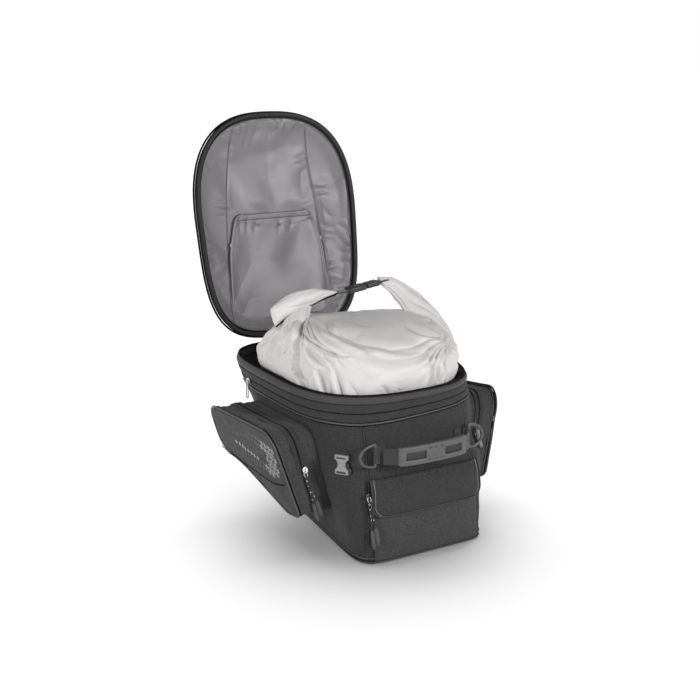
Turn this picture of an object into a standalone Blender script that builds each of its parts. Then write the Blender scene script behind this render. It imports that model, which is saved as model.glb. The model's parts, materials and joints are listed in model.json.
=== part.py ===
"""A motorcycle tail bag: a tapered fabric body with an expanding collar and a zipped lid, two zipped side
pockets, a rear pocket under a flap, a carry handle, and a roll-top dry bag inside.

Frame: metres, +Z up, origin in the middle of the flat base. +Y is forward, the end the lid hinges at. The
handle is at the rear, -Y. The lid stands open.
"""

import math

import bmesh
import bpy
import numpy as np
from mathutils import Matrix, Vector

# ---------------------------------------------------------------- driving dimensions, in metres
GAP = 0.0005  # clearance between sewn neighbours
RING_POINTS = 48  # points round a full plan of the bag
SIDE_POINTS = 20  # points along one side wall

BASE_THICK = 0.0056
WALL_THICK = 0.004
WALL_BOTTOM = BASE_THICK + GAP
WALL_TOP = 0.2165
PIPING_RADIUS = 0.0018
COLLAR_PIPING_Z = 0.219
COLLAR_LOW, COLLAR_HIGH = 0.2213, 0.2352
STRIP_LOW, STRIP_HIGH = 0.2372, 0.2508
RIM_LOW, RIM_HIGH = 0.2515, 0.2655
LID_ZIP_THICK = 0.0011
EXPANSION = 0.040  # how far the collar opens
GUSSET_LOW = 0.188
LINING_TOP = 0.184

# The plan at five heights: z, half width, how much it narrows forwards, rear end, front end, and how
# square its rear and front halves are (2 is an ellipse).
PLANS = (
    (0.000, 0.088, 0.34, -0.2230, 0.166, 8.0, 3.2),
    (0.079, 0.109, 0.22, -0.2165, 0.178, 6.2, 3.0),
    (0.159, 0.133, 0.11, -0.2095, 0.189, 4.2, 3.4),
    (0.219, 0.150, 0.06, -0.2040, 0.196, 3.0, 3.7),
    (0.250, 0.160, 0.05, -0.2000, 0.200, 2.6, 3.8),
)
REAR_SEAM_X = 0.095  # half width of the rear panel, between its two piped seams
FRONT_SEAM_X = 0.045

LID_OPEN = math.radians(100)
LID_AXIS = Vector((0.0, 0.2045, 0.2672))
LID_EDGE_Z = 0.2680  # the lid's edge when it is shut
LID_WALL = 0.011
LID_CROWN = 0.030
LID_THICK = 0.003

POCKET_CORNERS = (  # side pocket outline as (y, z, corner radius), from its rear top corner
    (-0.123, 0.206, 0.032),
    (0.098, 0.198, 0.028),
    (0.099, 0.125, 0.025),
    (0.020, 0.108, 0.060),
    (-0.097, 0.063, 0.030),
    (-0.137, 0.068, 0.010),
)
POCKET_FACE_X = 0.180  # the outer face at its lower edge
POCKET_FACE_Z = 0.069
POCKET_FACE_SLOPE = 0.307  # the outer face leans out towards the top
POCKET_THICK = 0.0025
POCKET_ZIP_SHARE = 0.50  # where the zip runs, as a share of the pocket's depth
POCKET_BULGE = 0.004
SLIDER_Z = 0.141

REAR_POCKET_TOP = 0.1065
REAR_RECESS = 0.008
REAR_POCKET_BULGE = 0.004
FLAP_TOP, FLAP_BOTTOM = 0.136, 0.079
FLAP_THICK = 0.003

HANDLE_Z = 0.175
HANDLE_Y = -0.2135
WEBBING = 0.025
WEBBING_THICK = 0.0018
D_RING_X = 0.0885
D_RING_RADIUS = 0.0016
GRIP_HALF = 0.064
GRIP_HEIGHT = 0.029
GRIP_THICK = 0.0075

BUCKLE_PLACE = Vector((0.128, -0.179, 0.174))  # top of a corner buckle

DRY_BAG_SPLIT = 0.2485
DRY_BAG_TOP = 0.352


# ---------------------------------------------------------------- plain helpers
def clear_scene():
    for obj in list(bpy.data.objects):
        bpy.data.objects.remove(obj)


def material(name, color, roughness, metallic=0.0):
    made = bpy.data.materials.new(name)
    made.use_nodes = True
    shader = made.node_tree.nodes["Principled BSDF"]
    shader.inputs["Base Color"].default_value = (*color, 1.0)
    shader.inputs["Roughness"].default_value = roughness
    shader.inputs["Metallic"].default_value = metallic
    return made


def pivot(name, place, turn_x=0.0):
    """An empty on a joint's axis. Its pieces are modelled as if it weren't turned."""
    empty = bpy.data.objects.new(name, None)
    empty.location = place
    empty.rotation_euler = (turn_x, 0.0, 0.0)
    bpy.context.collection.objects.link(empty)
    return empty


def add_piece(name, verts, faces, finish, parent=None):
    """One closed piece from points in the bag's frame. With a parent its origin is the parent's."""
    home = Vector(parent.location) if parent else Vector((0.0, 0.0, 0.0))
    bm = bmesh.new()
    made = [bm.verts.new(Vector(v) - home) for v in verts]
    for face in faces:
        bm.faces.new([made[i] for i in face])
    bmesh.ops.recalc_face_normals(bm, faces=bm.faces)
    mesh = bpy.data.meshes.new(name)
    bm.to_mesh(mesh)
    bm.free()
    mesh.materials.append(finish)
    mesh.shade_smooth()
    mesh.set_sharp_from_angle(angle=math.radians(35))
    obj = bpy.data.objects.new(name, mesh)
    obj.parent = parent
    bpy.context.collection.objects.link(obj)
    return obj


def grid_faces(rows, cols, first, wrap):
    """Quads of a grid whose points start at index first."""
    faces = []
    for r in range(rows - 1):
        for c in range(cols if wrap else cols - 1):
            d = (c + 1) % cols
            a = first + r * cols
            faces.append((a + c, a + d, a + cols + d, a + cols + c))
    return faces


def shell(name, outer, inner, finish, wrap=False, parent=None):
    """A closed wall between two grids of points: a panel, or with wrap a band that goes all round."""
    rows, cols = len(outer), len(outer[0])
    verts = [p for row in outer for p in row] + [p for row in inner for p in row]
    half = rows * cols
    faces = grid_faces(rows, cols, 0, wrap) + grid_faces(rows, cols, half, wrap)
    for c in range(cols if wrap else cols - 1):
        d = (c + 1) % cols
        faces.append((c, d, half + d, half + c))
        last = (rows - 1) * cols
        faces.append((last + c, last + d, half + last + d, half + last + c))
    if not wrap:
        for r in range(rows - 1):
            for side in (0, cols - 1):
                a, b = r * cols + side, (r + 1) * cols + side
                faces.append((a, b, half + b, half + a))
    return add_piece(name, verts, faces, finish, parent)


def cup(name, outer, inner, finish, parent=None):
    """A closed dish between two stacks of rings, open at ring 0. Each stack ends in one point."""
    verts, faces, rims = [], [], []
    for rings, tip in (outer, inner):
        first = len(verts)
        cols = len(rings[0])
        verts += [p for ring in rings for p in ring] + [tip]
        faces += grid_faces(len(rings), cols, first, True)
        last, top = first + (len(rings) - 1) * cols, first + len(rings) * cols
        faces += [(last + c, last + (c + 1) % cols, top) for c in range(cols)]
        rims.append(first)
    a, b = rims
    faces += [(a + c, a + (c + 1) % cols, b + (c + 1) % cols, b + c) for c in range(cols)]
    return add_piece(name, verts, faces, finish, parent)


def loft(name, rings, finish, parent=None):
    """A solid through a stack of rings, with a flat face at each end."""
    cols = len(rings[0])
    verts = [p for ring in rings for p in ring]
    faces = grid_faces(len(rings), cols, 0, True)
    faces.append(tuple(range(cols)))
    faces.append(tuple(len(verts) - cols + c for c in range(cols)))
    return add_piece(name, verts, faces, finish, parent)


def sweep(name, path, section, finish, up=(0, 0, 1), closed=False, scales=None, parent=None):
    """A solid that carries a section of (across, upwards) points along a path."""
    path = [Vector(p) for p in path]
    rings = []
    for i, point in enumerate(path):
        before = path[i - 1] if i or closed else point
        after = path[(i + 1) % len(path)] if i + 1 < len(path) or closed else point
        along = (after - before).normalized()
        across = along.cross(Vector(up)).normalized()
        over = across.cross(along)
        k = scales[i] if scales else 1.0
        rings.append([point + across * a * k + over * b * k for a, b in section])
    if not closed:
        return loft(name, rings, finish, parent)
    cols = len(section)
    verts = [p for ring in rings for p in ring]
    faces = grid_faces(len(rings), cols, 0, True)
    last = (len(rings) - 1) * cols
    faces += [(last + c, last + (c + 1) % cols, (c + 1) % cols, c) for c in range(cols)]
    return add_piece(name, verts, faces, finish, parent)


def round_section(radius, sides=5):
    turns = [2 * math.pi * i / sides for i in range(sides)]
    return [(radius * math.cos(t), radius * math.sin(t)) for t in turns]


def flat_section(width, thick):
    """A strap's section, lying across the path, with eased corners."""
    w, t, e = width / 2, thick / 2, min(thick, width) / 4
    return [(w - e, -t), (w, -t + e), (w, t - e), (w - e, t), (-w + e, t), (-w, t - e), (-w, -t + e),
        (-w + e, -t)]


def arc(centre, radius, start, end, steps):
    turns = [start + (end - start) * i / steps for i in range(steps + 1)]
    return [Vector((centre[0] + radius * math.cos(t), centre[1] + radius * math.sin(t))) for t in turns]


def rounded_polygon(corners, steps=5):
    """A closed outline from (a, b, radius) corners, each corner an arc."""
    made = []
    for i, (a, b, radius) in enumerate(corners):
        here = Vector((a, b))
        to_last = (Vector(corners[i - 1][:2]) - here).normalized()
        to_next = (Vector(corners[(i + 1) % len(corners)][:2]) - here).normalized()
        half = to_last.angle(to_next) / 2
        reach = radius / math.tan(half)
        centre = here + (to_last + to_next).normalized() * (radius / math.sin(half))
        start, end = here + to_last * reach - centre, here + to_next * reach - centre
        turn = start.angle_signed(end)
        for k in range(steps + 1):
            made.append(centre + Matrix.Rotation(-turn * k / steps, 2) @ start)
    return made


def moved_in(points, inset):
    """A closed outline moved inwards by inset."""
    area = sum(a.cross(b) for a, b in zip(points, points[1:] + points[:1], strict=True))
    sign = 1.0 if area > 0 else -1.0
    made = []
    for i, point in enumerate(points):
        along = (points[(i + 1) % len(points)] - points[i - 1]).normalized()
        made.append(point + Vector((-along.y, along.x)) * inset * sign)
    return made


def evenly(points, count, closed=False):
    """count points at even spacing along a line of points."""
    line = np.array([tuple(p) for p in points])
    if closed:
        line = np.vstack([line, line[:1]])
    reach = np.concatenate([[0.0], np.cumsum(np.linalg.norm(np.diff(line, axis=0), axis=1))])
    marks = np.linspace(0.0, reach[-1], count + 1 if closed else count)
    made = [Vector([float(np.interp(m, reach, line[:, k])) for k in range(line.shape[1])]) for m in marks]
    return made[:-1] if closed else made


# ---------------------------------------------------------------- the bag's plan
def plan(z):
    """The plan's numbers at height z, smoothly between the heights in PLANS."""
    table = np.array(PLANS)
    i = int(np.clip(np.searchsorted(table[:, 0], z) - 1, 0, len(table) - 2))
    t = float(np.clip((z - table[i, 0]) / (table[i + 1, 0] - table[i, 0]), 0.0, 1.3))
    return table[i] + (table[i + 1] - table[i]) * t


def half_outline(z, steps=180):
    """The right half of the plan, from the middle of the rear to the middle of the front."""
    _, width, narrowing, rear, front, rear_square, front_square = plan(z)
    middle, half_length = (rear + front) / 2, (front - rear) / 2
    made = []
    for i in range(steps + 1):
        turn = math.pi * (i / steps - 0.5)
        power = 2 / (rear_square if turn < 0 else front_square)
        v = abs(math.cos(turn)) ** power if 0 < i < steps else 0.0
        u = math.copysign(abs(math.sin(turn)) ** power, turn)
        made.append(Vector((v * width * (1 - narrowing * u), middle + u * half_length)))
    return made


def plan_ring(z, inset=0.0, count=RING_POINTS, at_z=None):
    """The closed plan at height z as evenly spaced points, moved inwards by inset."""
    right = half_outline(z)
    left = [Vector((-p.x, p.y)) for p in reversed(right[1:-1])]
    points = moved_in(evenly(right + left, count, closed=True), inset)
    return [Vector((p.x, p.y, z if at_z is None else at_z)) for p in points]


def body_x(y, z):
    """Half the bag's width at a place on its side."""
    _, width, narrowing, rear, front, rear_square, front_square = plan(z)
    u = (y - (rear + front) / 2) / ((front - rear) / 2)
    power = rear_square if u < 0 else front_square
    return width * (1 - narrowing * u) * max(0.0, 1 - abs(u) ** power) ** (1 / power)


def rear_y(x, z):
    """Where the rear of the bag is, at x and height z."""
    points = half_outline(z)
    widest = max(range(len(points)), key=lambda i: points[i].x)
    rear = points[: widest + 1]
    return float(np.interp(abs(x), [p.x for p in rear], [p.y for p in rear]))


def heights(low, high, count):
    return [low + (high - low) * i / (count - 1) for i in range(count)]


def eased(t):
    t = min(1.0, max(0.0, t))
    return t * t * (3 - 2 * t)


# ---------------------------------------------------------------- body and base
def side_stretch(z, inset):
    """The right wall's points at height z, from the rear seam to the front seam."""
    points = half_outline(z)
    widest = max(range(len(points)), key=lambda i: points[i].x)
    rear_x, front_x = REAR_SEAM_X + GAP, FRONT_SEAM_X + GAP
    start = Vector((rear_x, rear_y(rear_x, z)))
    end_y = float(np.interp(-front_x, [-p.x for p in points[widest:]], [p.y for p in points[widest:]]))
    kept = [p for i, p in enumerate(points) if (i <= widest and p.x > rear_x)
        or (i > widest and p.x > front_x)]
    line = evenly([start] + kept + [Vector((front_x, end_y))], SIDE_POINTS)
    low_x = [rear_x if i < SIDE_POINTS / 2 else front_x for i in range(SIDE_POINTS)]
    return [Vector((max(p.x, x), p.y, z)) for p, x in zip(offset_line(line, inset), low_x, strict=True)]


def offset_line(line, inset):
    """An open line of points moved to its left by inset."""
    made = []
    for i, point in enumerate(line):
        along = (line[min(i + 1, len(line) - 1)] - line[max(i - 1, 0)]).normalized()
        made.append(point + Vector((-along.y, along.x)) * inset)
    return made


def rear_recess(x, z):
    """How far the rear panel sits in behind the rear pocket."""
    across = eased((REAR_SEAM_X - 0.004 - abs(x)) / 0.020)
    over = eased((FLAP_TOP - z) / 0.020)
    return REAR_RECESS * across * over * eased((z - WALL_BOTTOM) / 0.012)


def front_y(x, z):
    points = half_outline(z)
    widest = max(range(len(points)), key=lambda i: points[i].x)
    front = points[widest:][::-1]
    return float(np.interp(abs(x), [p.x for p in front], [p.y for p in front]))


def build_body(finish):
    rows = heights(WALL_BOTTOM, WALL_TOP, 7)
    columns = [REAR_SEAM_X * (i / 6 - 1) for i in range(13)]
    outer = [[Vector((x, rear_y(x, z) + rear_recess(x, z), z)) for x in columns] for z in rows]
    inner = [[p + Vector((0, WALL_THICK, 0)) for p in row] for row in outer]
    shell("rear_panel", outer, inner, finish)

    for name, side in (("left_wall", -1), ("right_wall", 1)):
        outer = [[Vector((side * p.x, p.y, z)) for p in side_stretch(z, 0.0)] for z in rows]
        inner = [[Vector((side * p.x, p.y, z)) for p in side_stretch(z, WALL_THICK)] for z in rows]
        shell(name, outer, inner, finish)

    columns = [FRONT_SEAM_X * (i / 4 - 1) for i in range(9)]
    outer = [[Vector((x, front_y(x, z), z)) for x in columns] for z in rows]
    inner = [[p - Vector((0, WALL_THICK, 0)) for p in row] for row in outer]
    shell("front_wall", outer, inner, finish)


def build_base(fabric, board, trim):
    rings = [plan_ring(0.0, 0.012), plan_ring(0.0, 0.003, at_z=0.0025),
        plan_ring(0.0, 0.003, at_z=BASE_THICK)]
    loft("base_panel", rings, fabric)
    low = BASE_THICK + GAP
    rings = [plan_ring(0.0, 0.012, at_z=low), plan_ring(0.0, 0.012, at_z=low + 0.002)]
    loft("base_board", rings, board)
    sweep("base_piping", plan_ring(0.0, -0.0004, at_z=0.0034), round_section(PIPING_RADIUS), trim,
        closed=True)


def build_lining(finish):
    """A thin bag inside the walls, open at the top."""
    rows = (0.0105, 0.070, 0.120, LINING_TOP)

    def ring(z, inset):
        rear_shift = REAR_RECESS * eased((FLAP_TOP + 0.012 - z) / 0.020)
        points = plan_ring(z, inset)
        rear = min(p.y for p in points)
        return [p + Vector((0, rear_shift * eased((rear * 0.35 - p.y) / (0.3 * abs(rear))), 0))
            for p in points]

    outer = [ring(z, WALL_THICK + 0.0030) for z in reversed(rows)]
    inner = [ring(z, WALL_THICK + 0.0040) for z in reversed(rows)]
    inner[-1] = [p + Vector((0, 0, 0.001)) for p in inner[-1]]
    cup("compartment_lining", (outer, Vector((0, -0.03, 0.0105))), (inner, Vector((0, -0.03, 0.0115))),
        finish)


def build_collar(fabric, trim):
    outer = [plan_ring(z, i) for z, i in ((COLLAR_LOW, 0.0), (0.2285, -0.0012), (COLLAR_HIGH, 0.0))]
    inner = [plan_ring(z, WALL_THICK) for z in (COLLAR_LOW, 0.2285, COLLAR_HIGH)]
    shell("collar_band", outer, inner, fabric, wrap=True)
    ring = plan_ring(COLLAR_PIPING_Z, 0.0004)
    sweep("collar_piping", ring, round_section(PIPING_RADIUS), trim, closed=True)


# ---------------------------------------------------------------- the part that the collar lets rise
def rising_ring(z, inset):
    """A ring that fits inside the plan at every height it passes as the collar opens."""
    turns = [2 * math.pi * i / RING_POINTS - math.pi for i in range(RING_POINTS)]
    reach = np.full(RING_POINTS, 1.0)
    for step in (0.0, 0.25, 0.5, 0.75, 1.0):
        ring = plan_ring(min(z + step * EXPANSION, STRIP_HIGH), inset, 4 * RING_POINTS)
        angles = [math.atan2(p.y, p.x) for p in ring]
        order = np.argsort(angles)
        sizes = [math.hypot(p.x, p.y) for p in ring]
        found = np.interp(turns, np.array(angles)[order], np.array(sizes)[order], period=2 * math.pi)
        reach = np.minimum(reach, found)
    return [Vector((r * math.cos(t), r * math.sin(t), z)) for r, t in zip(reach, turns, strict=True)]


def build_upper(fabric, rubbery, tape, parent):
    profile = ((STRIP_LOW, 0.0), (0.2440, -0.0010), (STRIP_HIGH, 0.0))
    outer = [plan_ring(z, i) for z, i in profile]
    inner = [plan_ring(z, WALL_THICK) for z, _ in profile]
    shell("zip_band", outer, inner, fabric, wrap=True, parent=parent)

    profile = ((RIM_LOW, 0.0015), (0.2545, -0.0010), (0.2600, -0.0012), (0.2640, 0.0010),
        (RIM_HIGH, 0.0035))
    outer = [plan_ring(0.250, i, at_z=z) for z, i in profile]
    inner = [plan_ring(0.250, 0.0075, at_z=z) for z, _ in profile]
    shell("rim_band", outer, inner, rubbery, wrap=True, parent=parent)

    low = RIM_HIGH + 0.0004
    outer = [plan_ring(0.250, 0.0030, at_z=z) for z in (low, low + LID_ZIP_THICK)]
    inner = [plan_ring(0.250, 0.0085, at_z=z) for z in (low, low + LID_ZIP_THICK)]
    shell("rim_zip_tape", outer, inner, tape, wrap=True, parent=parent)

    rows = heights(GUSSET_LOW, STRIP_HIGH, 4)
    outer = [rising_ring(z, WALL_THICK + 0.0030) for z in rows]
    inner = [rising_ring(z, WALL_THICK + 0.0040) for z in rows]
    shell("expansion_gusset", outer, inner, fabric, wrap=True, parent=parent)

    width = 0.070
    path = [Vector((x, front_y(x, 0.250) + 0.0030, 0.2600)) for x in np.linspace(-width, width, 9)]
    section = [(a, b) for a, b in ((0.0006, -0.0065), (0.0006, 0.0055), (-0.0006, 0.0055),
        (-0.0006, -0.0065))]
    sweep("lid_hinge_strip", path, section, fabric, parent=parent)


# ---------------------------------------------------------------- lid, modelled shut
def lid_rings(profile, drop=0.0):
    """Rings from the lid's edge to its crown: (share of the plan kept, inset, height over the edge)."""
    made = []
    for share, inset, up in profile:
        ring = plan_ring(0.250, inset, at_z=LID_EDGE_Z + up - drop)
        made.append([Vector((p.x * share, p.y * share, p.z)) for p in ring])
    return made


def build_lid(fabric, lining, board, tape, trim, parent):
    wall, crown = LID_WALL, LID_WALL + LID_CROWN
    outer = ((1.0, -0.002, 0.0025), (1.0, -0.002, wall), (0.97, 0.0, wall + 0.007),
        (0.86, 0.0, wall + 0.018))
    outer += ((0.66, 0.0, wall + 0.025), (0.34, 0.0, crown - 0.001))
    inner = [(s, i + LID_THICK, max(0.0025, u - LID_THICK * (u > wall))) for s, i, u in outer]
    cup(
        "lid_shell",
        (lid_rings(outer), Vector((0, 0, LID_EDGE_Z + crown))),
        (lid_rings(inner), Vector((0, 0, LID_EDGE_Z + crown - LID_THICK))),
        fabric,
        parent,
    )

    def dish(name, depth, thick, share, finish):
        """A sheet that follows the inside of the shell, depth below it."""
        below = depth + LID_THICK
        rings = ((share, 0.0, wall + 0.007), (0.86 * share, 0.0, wall + 0.018),
            (0.66 * share, 0.0, wall + 0.025))
        rings += ((0.34 * share, 0.0, crown - 0.001),)
        top, bottom = LID_EDGE_Z + crown - below, LID_EDGE_Z + crown - below - thick
        cup(
            name,
            (lid_rings(rings, below), Vector((0, 0, top))),
            (lid_rings(rings, below + thick), Vector((0, 0, bottom))),
            finish,
            parent,
        )

    dish("lid_board", 0.0010, 0.0015, 0.945, board)
    dish("lid_lining", 0.0032, 0.0012, 0.945, lining)

    outer = [plan_ring(0.250, 0.0005, at_z=LID_EDGE_Z + z) for z in (0.0004, 0.0020)]
    inner = [plan_ring(0.250, 0.0065, at_z=LID_EDGE_Z + z) for z in (0.0004, 0.0020)]
    shell("lid_zip_tape", outer, inner, tape, wrap=True, parent=parent)
    ring = plan_ring(0.250, -0.0043, at_z=LID_EDGE_Z + wall)
    sweep("lid_piping", ring, round_section(PIPING_RADIUS), trim, closed=True, parent=parent)

    def pocket_row(y, half):
        """A row across the lid pocket, just under the lining."""
        row = []
        for i in range(9):
            x = half * (i / 4 - 1)
            rim = body_x(y, 0.250)
            share = max(abs(x) / rim, abs(y) / 0.2) / 0.945
            up = np.interp(share, (0.0, 0.34, 0.66, 0.86, 1.0),
                (crown, crown - 0.001, wall + 0.025, wall + 0.018, wall + 0.007))
            row.append(Vector((x, y, LID_EDGE_Z + up - LID_THICK - 0.0032 - 0.0012 - 0.0030)))
        return row

    places = ((0.150, 0.088), (0.100, 0.096), (0.040, 0.092), (-0.012, 0.074), (-0.022, 0.062))
    top = [pocket_row(y, half) for y, half in places]
    bottom = [[p - Vector((0, 0, 0.0008)) for p in row] for row in top]
    shell("lid_pocket", top, bottom, lining, parent=parent)


# ---------------------------------------------------------------- side pockets
def pocket_face(z):
    return POCKET_FACE_X + POCKET_FACE_SLOPE * (z - POCKET_FACE_Z)


def pocket_zip_x(y, z):
    inner = body_x(y, z)
    return inner + (pocket_face(z) - inner) * POCKET_ZIP_SHARE


def build_side_pocket(name, side, fabric, tape, trim, metal, cord):
    outline = evenly(rounded_polygon(POCKET_CORNERS), 40, closed=True)
    within = moved_in(outline, POCKET_THICK)

    def ring(points, x_of):
        return [Vector((side * x_of(p.x, p.y), p.x, p.y)) for p in points]

    def between(share):
        def x_of(y, z):
            start = body_x(y, z) + 0.0012
            return start + (pocket_zip_x(y, z) - GAP / 2 - start) * share

        return x_of

    shares = (0.0, 0.5, 1.0)
    outer = [ring(outline, between(s)) for s in shares]
    inner = [ring(within, between(s)) for s in shares]
    shell(f"{name}_pocket_gusset", outer, inner, fabric, wrap=True)

    # the cover folds down about the line under its lower edge, along the zip
    ends = [Vector((side * pocket_zip_x(y, z), y, z)) for y, z, _ in (POCKET_CORNERS[4], POCKET_CORNERS[2])]
    cover = pivot(f"{name}_pocket_cover_axis", (ends[0] + ends[1]) / 2)
    middle = sum(outline, Vector((0, 0))) / len(outline)

    def scaled(points, share):
        return [middle + (p - middle) * share for p in points]

    def start_x(y, z):
        return pocket_zip_x(y, z) + GAP / 2

    def face_at(depth):
        return lambda y, z: pocket_face(z) + depth

    outer = [ring(outline, start_x), ring(outline, face_at(-0.003)),
        ring(moved_in(outline, 0.003), face_at(0.0))]
    outer += [ring(scaled(outline, 0.8), face_at(0.002)), ring(scaled(outline, 0.4), face_at(POCKET_BULGE))]
    inner = [ring(within, start_x), ring(within, face_at(-0.003 - POCKET_THICK))]
    inner += [ring(moved_in(within, 0.003), face_at(-POCKET_THICK)),
        ring(scaled(within, 0.8), face_at(0.002 - POCKET_THICK))]
    inner += [ring(scaled(within, 0.4), face_at(POCKET_BULGE - POCKET_THICK))]
    tip = Vector((side * (pocket_face(middle.y) + POCKET_BULGE), middle.x, middle.y))
    cup(
        f"{name}_pocket_cover",
        (outer, tip),
        (inner, tip - Vector((side * POCKET_THICK, 0, 0))),
        fabric,
        cover,
    )
    ring_path = ring(moved_in(outline, -PIPING_RADIUS - 0.0002), face_at(-0.001))
    sweep(f"{name}_pocket_piping", ring_path, round_section(PIPING_RADIUS), trim, up=(1, 0, 0),
        closed=True, parent=cover)

    # the zip half on the gusset runs from one end seam, over the top, to the other end seam
    zip_line = [p for p in moved_in(outline, -0.0004) if p.y > SLIDER_Z - 0.004 or p.x > 0.09]
    start = min(range(len(zip_line)), key=lambda i: (zip_line[i].y > 0.15, zip_line[i].x))
    zip_line = zip_line[start:] + zip_line[:start]
    zip_line = [p for p in zip_line if p.y > SLIDER_Z - 0.004]
    outside = offset_line(zip_line, 0.0012 if offset_is_out(zip_line, middle) else -0.0012)
    outer = [ring(outside, lambda y, z, k=k: pocket_zip_x(y, z) - k) for k in (0.009, GAP)]
    inner = [ring(zip_line, lambda y, z, k=k: pocket_zip_x(y, z) - k) for k in (0.009, GAP)]
    shell(f"{name}_pocket_zip", outer, inner, tape)

    rear = max((p for p in outline if p.x < -0.1), key=lambda p: -abs(p.y - SLIDER_Z))
    place = Vector((side * (pocket_zip_x(rear.x, SLIDER_Z) - 0.003), rear.x - 0.0045, SLIDER_Z))
    build_slider(f"{name}_pocket_slider", place, Vector((0, -1, 0)), Vector((0, 0, 1)), metal)
    hang = pivot(f"{name}_pocket_pull_axis", place + Vector((0, -0.0030, -0.0080)))
    build_cord_pull(f"{name}_pocket_pull", hang, Vector((-side * 0.021, -0.008, -0.074)), cord)


def offset_is_out(line, middle):
    moved = offset_line(line, 0.001)
    return (moved[0] - middle).length > (line[0] - middle).length


# ---------------------------------------------------------------- sliders and pulls
def build_slider(name, place, out, along, finish):
    """A zip slider: a wedge that narrows along its travel, its back on the zip."""
    across = along.cross(out).normalized()
    outline = [(-0.0042, -0.0045), (0.0042, -0.0045), (0.0048, 0.0030), (0.0022, 0.0060),
        (-0.0022, 0.0060), (-0.0048, 0.0030)]
    rings = [[place + across * a + along * b + out * d for a, b in outline] for d in (-0.0020, 0.0016)]
    loft(name, rings, finish, pivot(f"{name}_axis", place))


def build_cord_pull(name, hang, reach, finish):
    """A doubled cord with moulded ends, hanging from a slider's ring."""
    top = Vector(hang.location)
    stops = ((0.0, 0.0016), (0.10, 0.0016), (0.62, 0.0020), (0.68, 0.0034), (0.97, 0.0040), (1.0, 0.0030))
    path = [top + reach * t for t, _ in stops]
    sweep(name, path, round_section(1.0, 8), finish, up=(1, 0, 0), scales=[r for _, r in stops],
        parent=hang)


def build_wire_pull(name, hang, length, finish):
    """A bent wire loop that hangs from a slider."""
    top, half, wire = Vector(hang.location), 0.0032, 0.0010
    arcs = arc((0, -length + half), half, math.pi, 2 * math.pi, 6) + arc((0, -half), half, 0, math.pi, 6)
    path = [top + Vector((0, p.x, p.y)) for p in arcs]
    sweep(name, path, round_section(wire), finish, up=(1, 0, 0), closed=True, parent=hang)


def build_collar_slider(metal):
    y = 0.072
    z = (COLLAR_HIGH + STRIP_LOW) / 2
    place = Vector((-body_x(y, z) - 0.0052, y, z))
    build_slider("expansion_slider", place, Vector((-1, 0, 0)), Vector((0, 1, 0)), metal)
    hang = pivot("expansion_pull_axis", place + Vector((-0.0032, 0, -0.0010)))
    build_wire_pull("expansion_pull", hang, 0.030, metal)
    for name, side in (("left_lid_slider", -1), ("right_lid_slider", 1)):
        x = side * 0.082
        place = Vector((x, front_y(x, 0.250) + 0.0052, 0.2600))
        build_slider(name, place, Vector((0, 1, 0)), Vector((-side, 0, 0)), metal)


# ---------------------------------------------------------------- rear pocket and flap
def build_rear_pocket(fabric, tape, metal, cord):
    half = REAR_SEAM_X - 0.002
    columns = [half * (i / 6 - 1) for i in range(13)]
    rows = heights(WALL_BOTTOM, REAR_POCKET_TOP, 5)

    def proud(x, z):
        across = eased((half - abs(x)) / 0.035)
        return 0.0032 + REAR_POCKET_BULGE * across * math.sin(math.pi * min(1.0, z / 0.150))

    outer = [[Vector((x, rear_y(x, z) - proud(x, z), z)) for x in columns] for z in rows]
    inner = [[p + Vector((0, 0.0026, 0)) for p in row] for row in outer]
    shell("rear_pocket_panel", outer, inner, fabric)

    rows = (REAR_POCKET_TOP + GAP, REAR_POCKET_TOP + 0.0100)
    outer = [[Vector((x, rear_y(x, z) - 0.0022, z)) for x in columns] for z in rows]
    inner = [[p + Vector((0, 0.0016, 0)) for p in row] for row in outer]
    shell("rear_pocket_zip", outer, inner, tape)

    hinge = pivot("rear_flap_axis", Vector((0, rear_y(0, FLAP_TOP) - 0.0035, FLAP_TOP + 0.0015)))
    edge = REAR_SEAM_X + 0.001
    corners = ((-edge, FLAP_TOP, 0.002), (edge, FLAP_TOP, 0.002), (edge + 0.002, FLAP_BOTTOM, 0.016),
        (-edge - 0.002, FLAP_BOTTOM, 0.016))
    across = 13
    rows = heights(FLAP_TOP, FLAP_BOTTOM, 7)
    outline = rounded_polygon(corners, 8)

    def flap_half(z):
        near = sorted((abs(p.y - z), p.x) for p in outline if p.x > 0)
        return near[0][1]

    def flap_y(x, z):
        return rear_y(x, z) - proud(min(abs(x), half), z) - 0.0012 - 0.0038 * eased((FLAP_TOP - z) / 0.02)

    inner = [[Vector((x, flap_y(x, z), z)) for x in np.linspace(-flap_half(z), flap_half(z), across)]
        for z in rows]
    outer = [[p - Vector((0, FLAP_THICK, 0)) for p in row] for row in inner]
    shell("rear_flap", outer, inner, fabric, parent=hinge)

    z = REAR_POCKET_TOP + 0.0052
    x = -REAR_SEAM_X - 0.0055
    place = Vector((x, rear_y(REAR_SEAM_X - 0.001, z) - 0.0046, z))
    build_slider("rear_zip_slider", place, Vector((0, -1, 0)), Vector((1, 0, 0)), metal)
    hang = pivot("rear_zip_pull_axis", place + Vector((0, -0.0036, -0.0070)))
    build_cord_pull("rear_zip_pull", hang, Vector((0.006, -0.012, -0.075)), cord)


# ---------------------------------------------------------------- handle, D-rings, corner buckles
def handle_path(count):
    """The strap's line between its two anchors, bowed out to the rear."""
    end = 0.0805
    made = []
    for i in range(count):
        x = end * (2 * i / (count - 1) - 1)
        bow = 0.031 * (1 - abs(x / 0.084) ** 3.0) ** (1 / 2.0)
        made.append(Vector((x, HANDLE_Y - bow, HANDLE_Z)))
    return made


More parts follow.
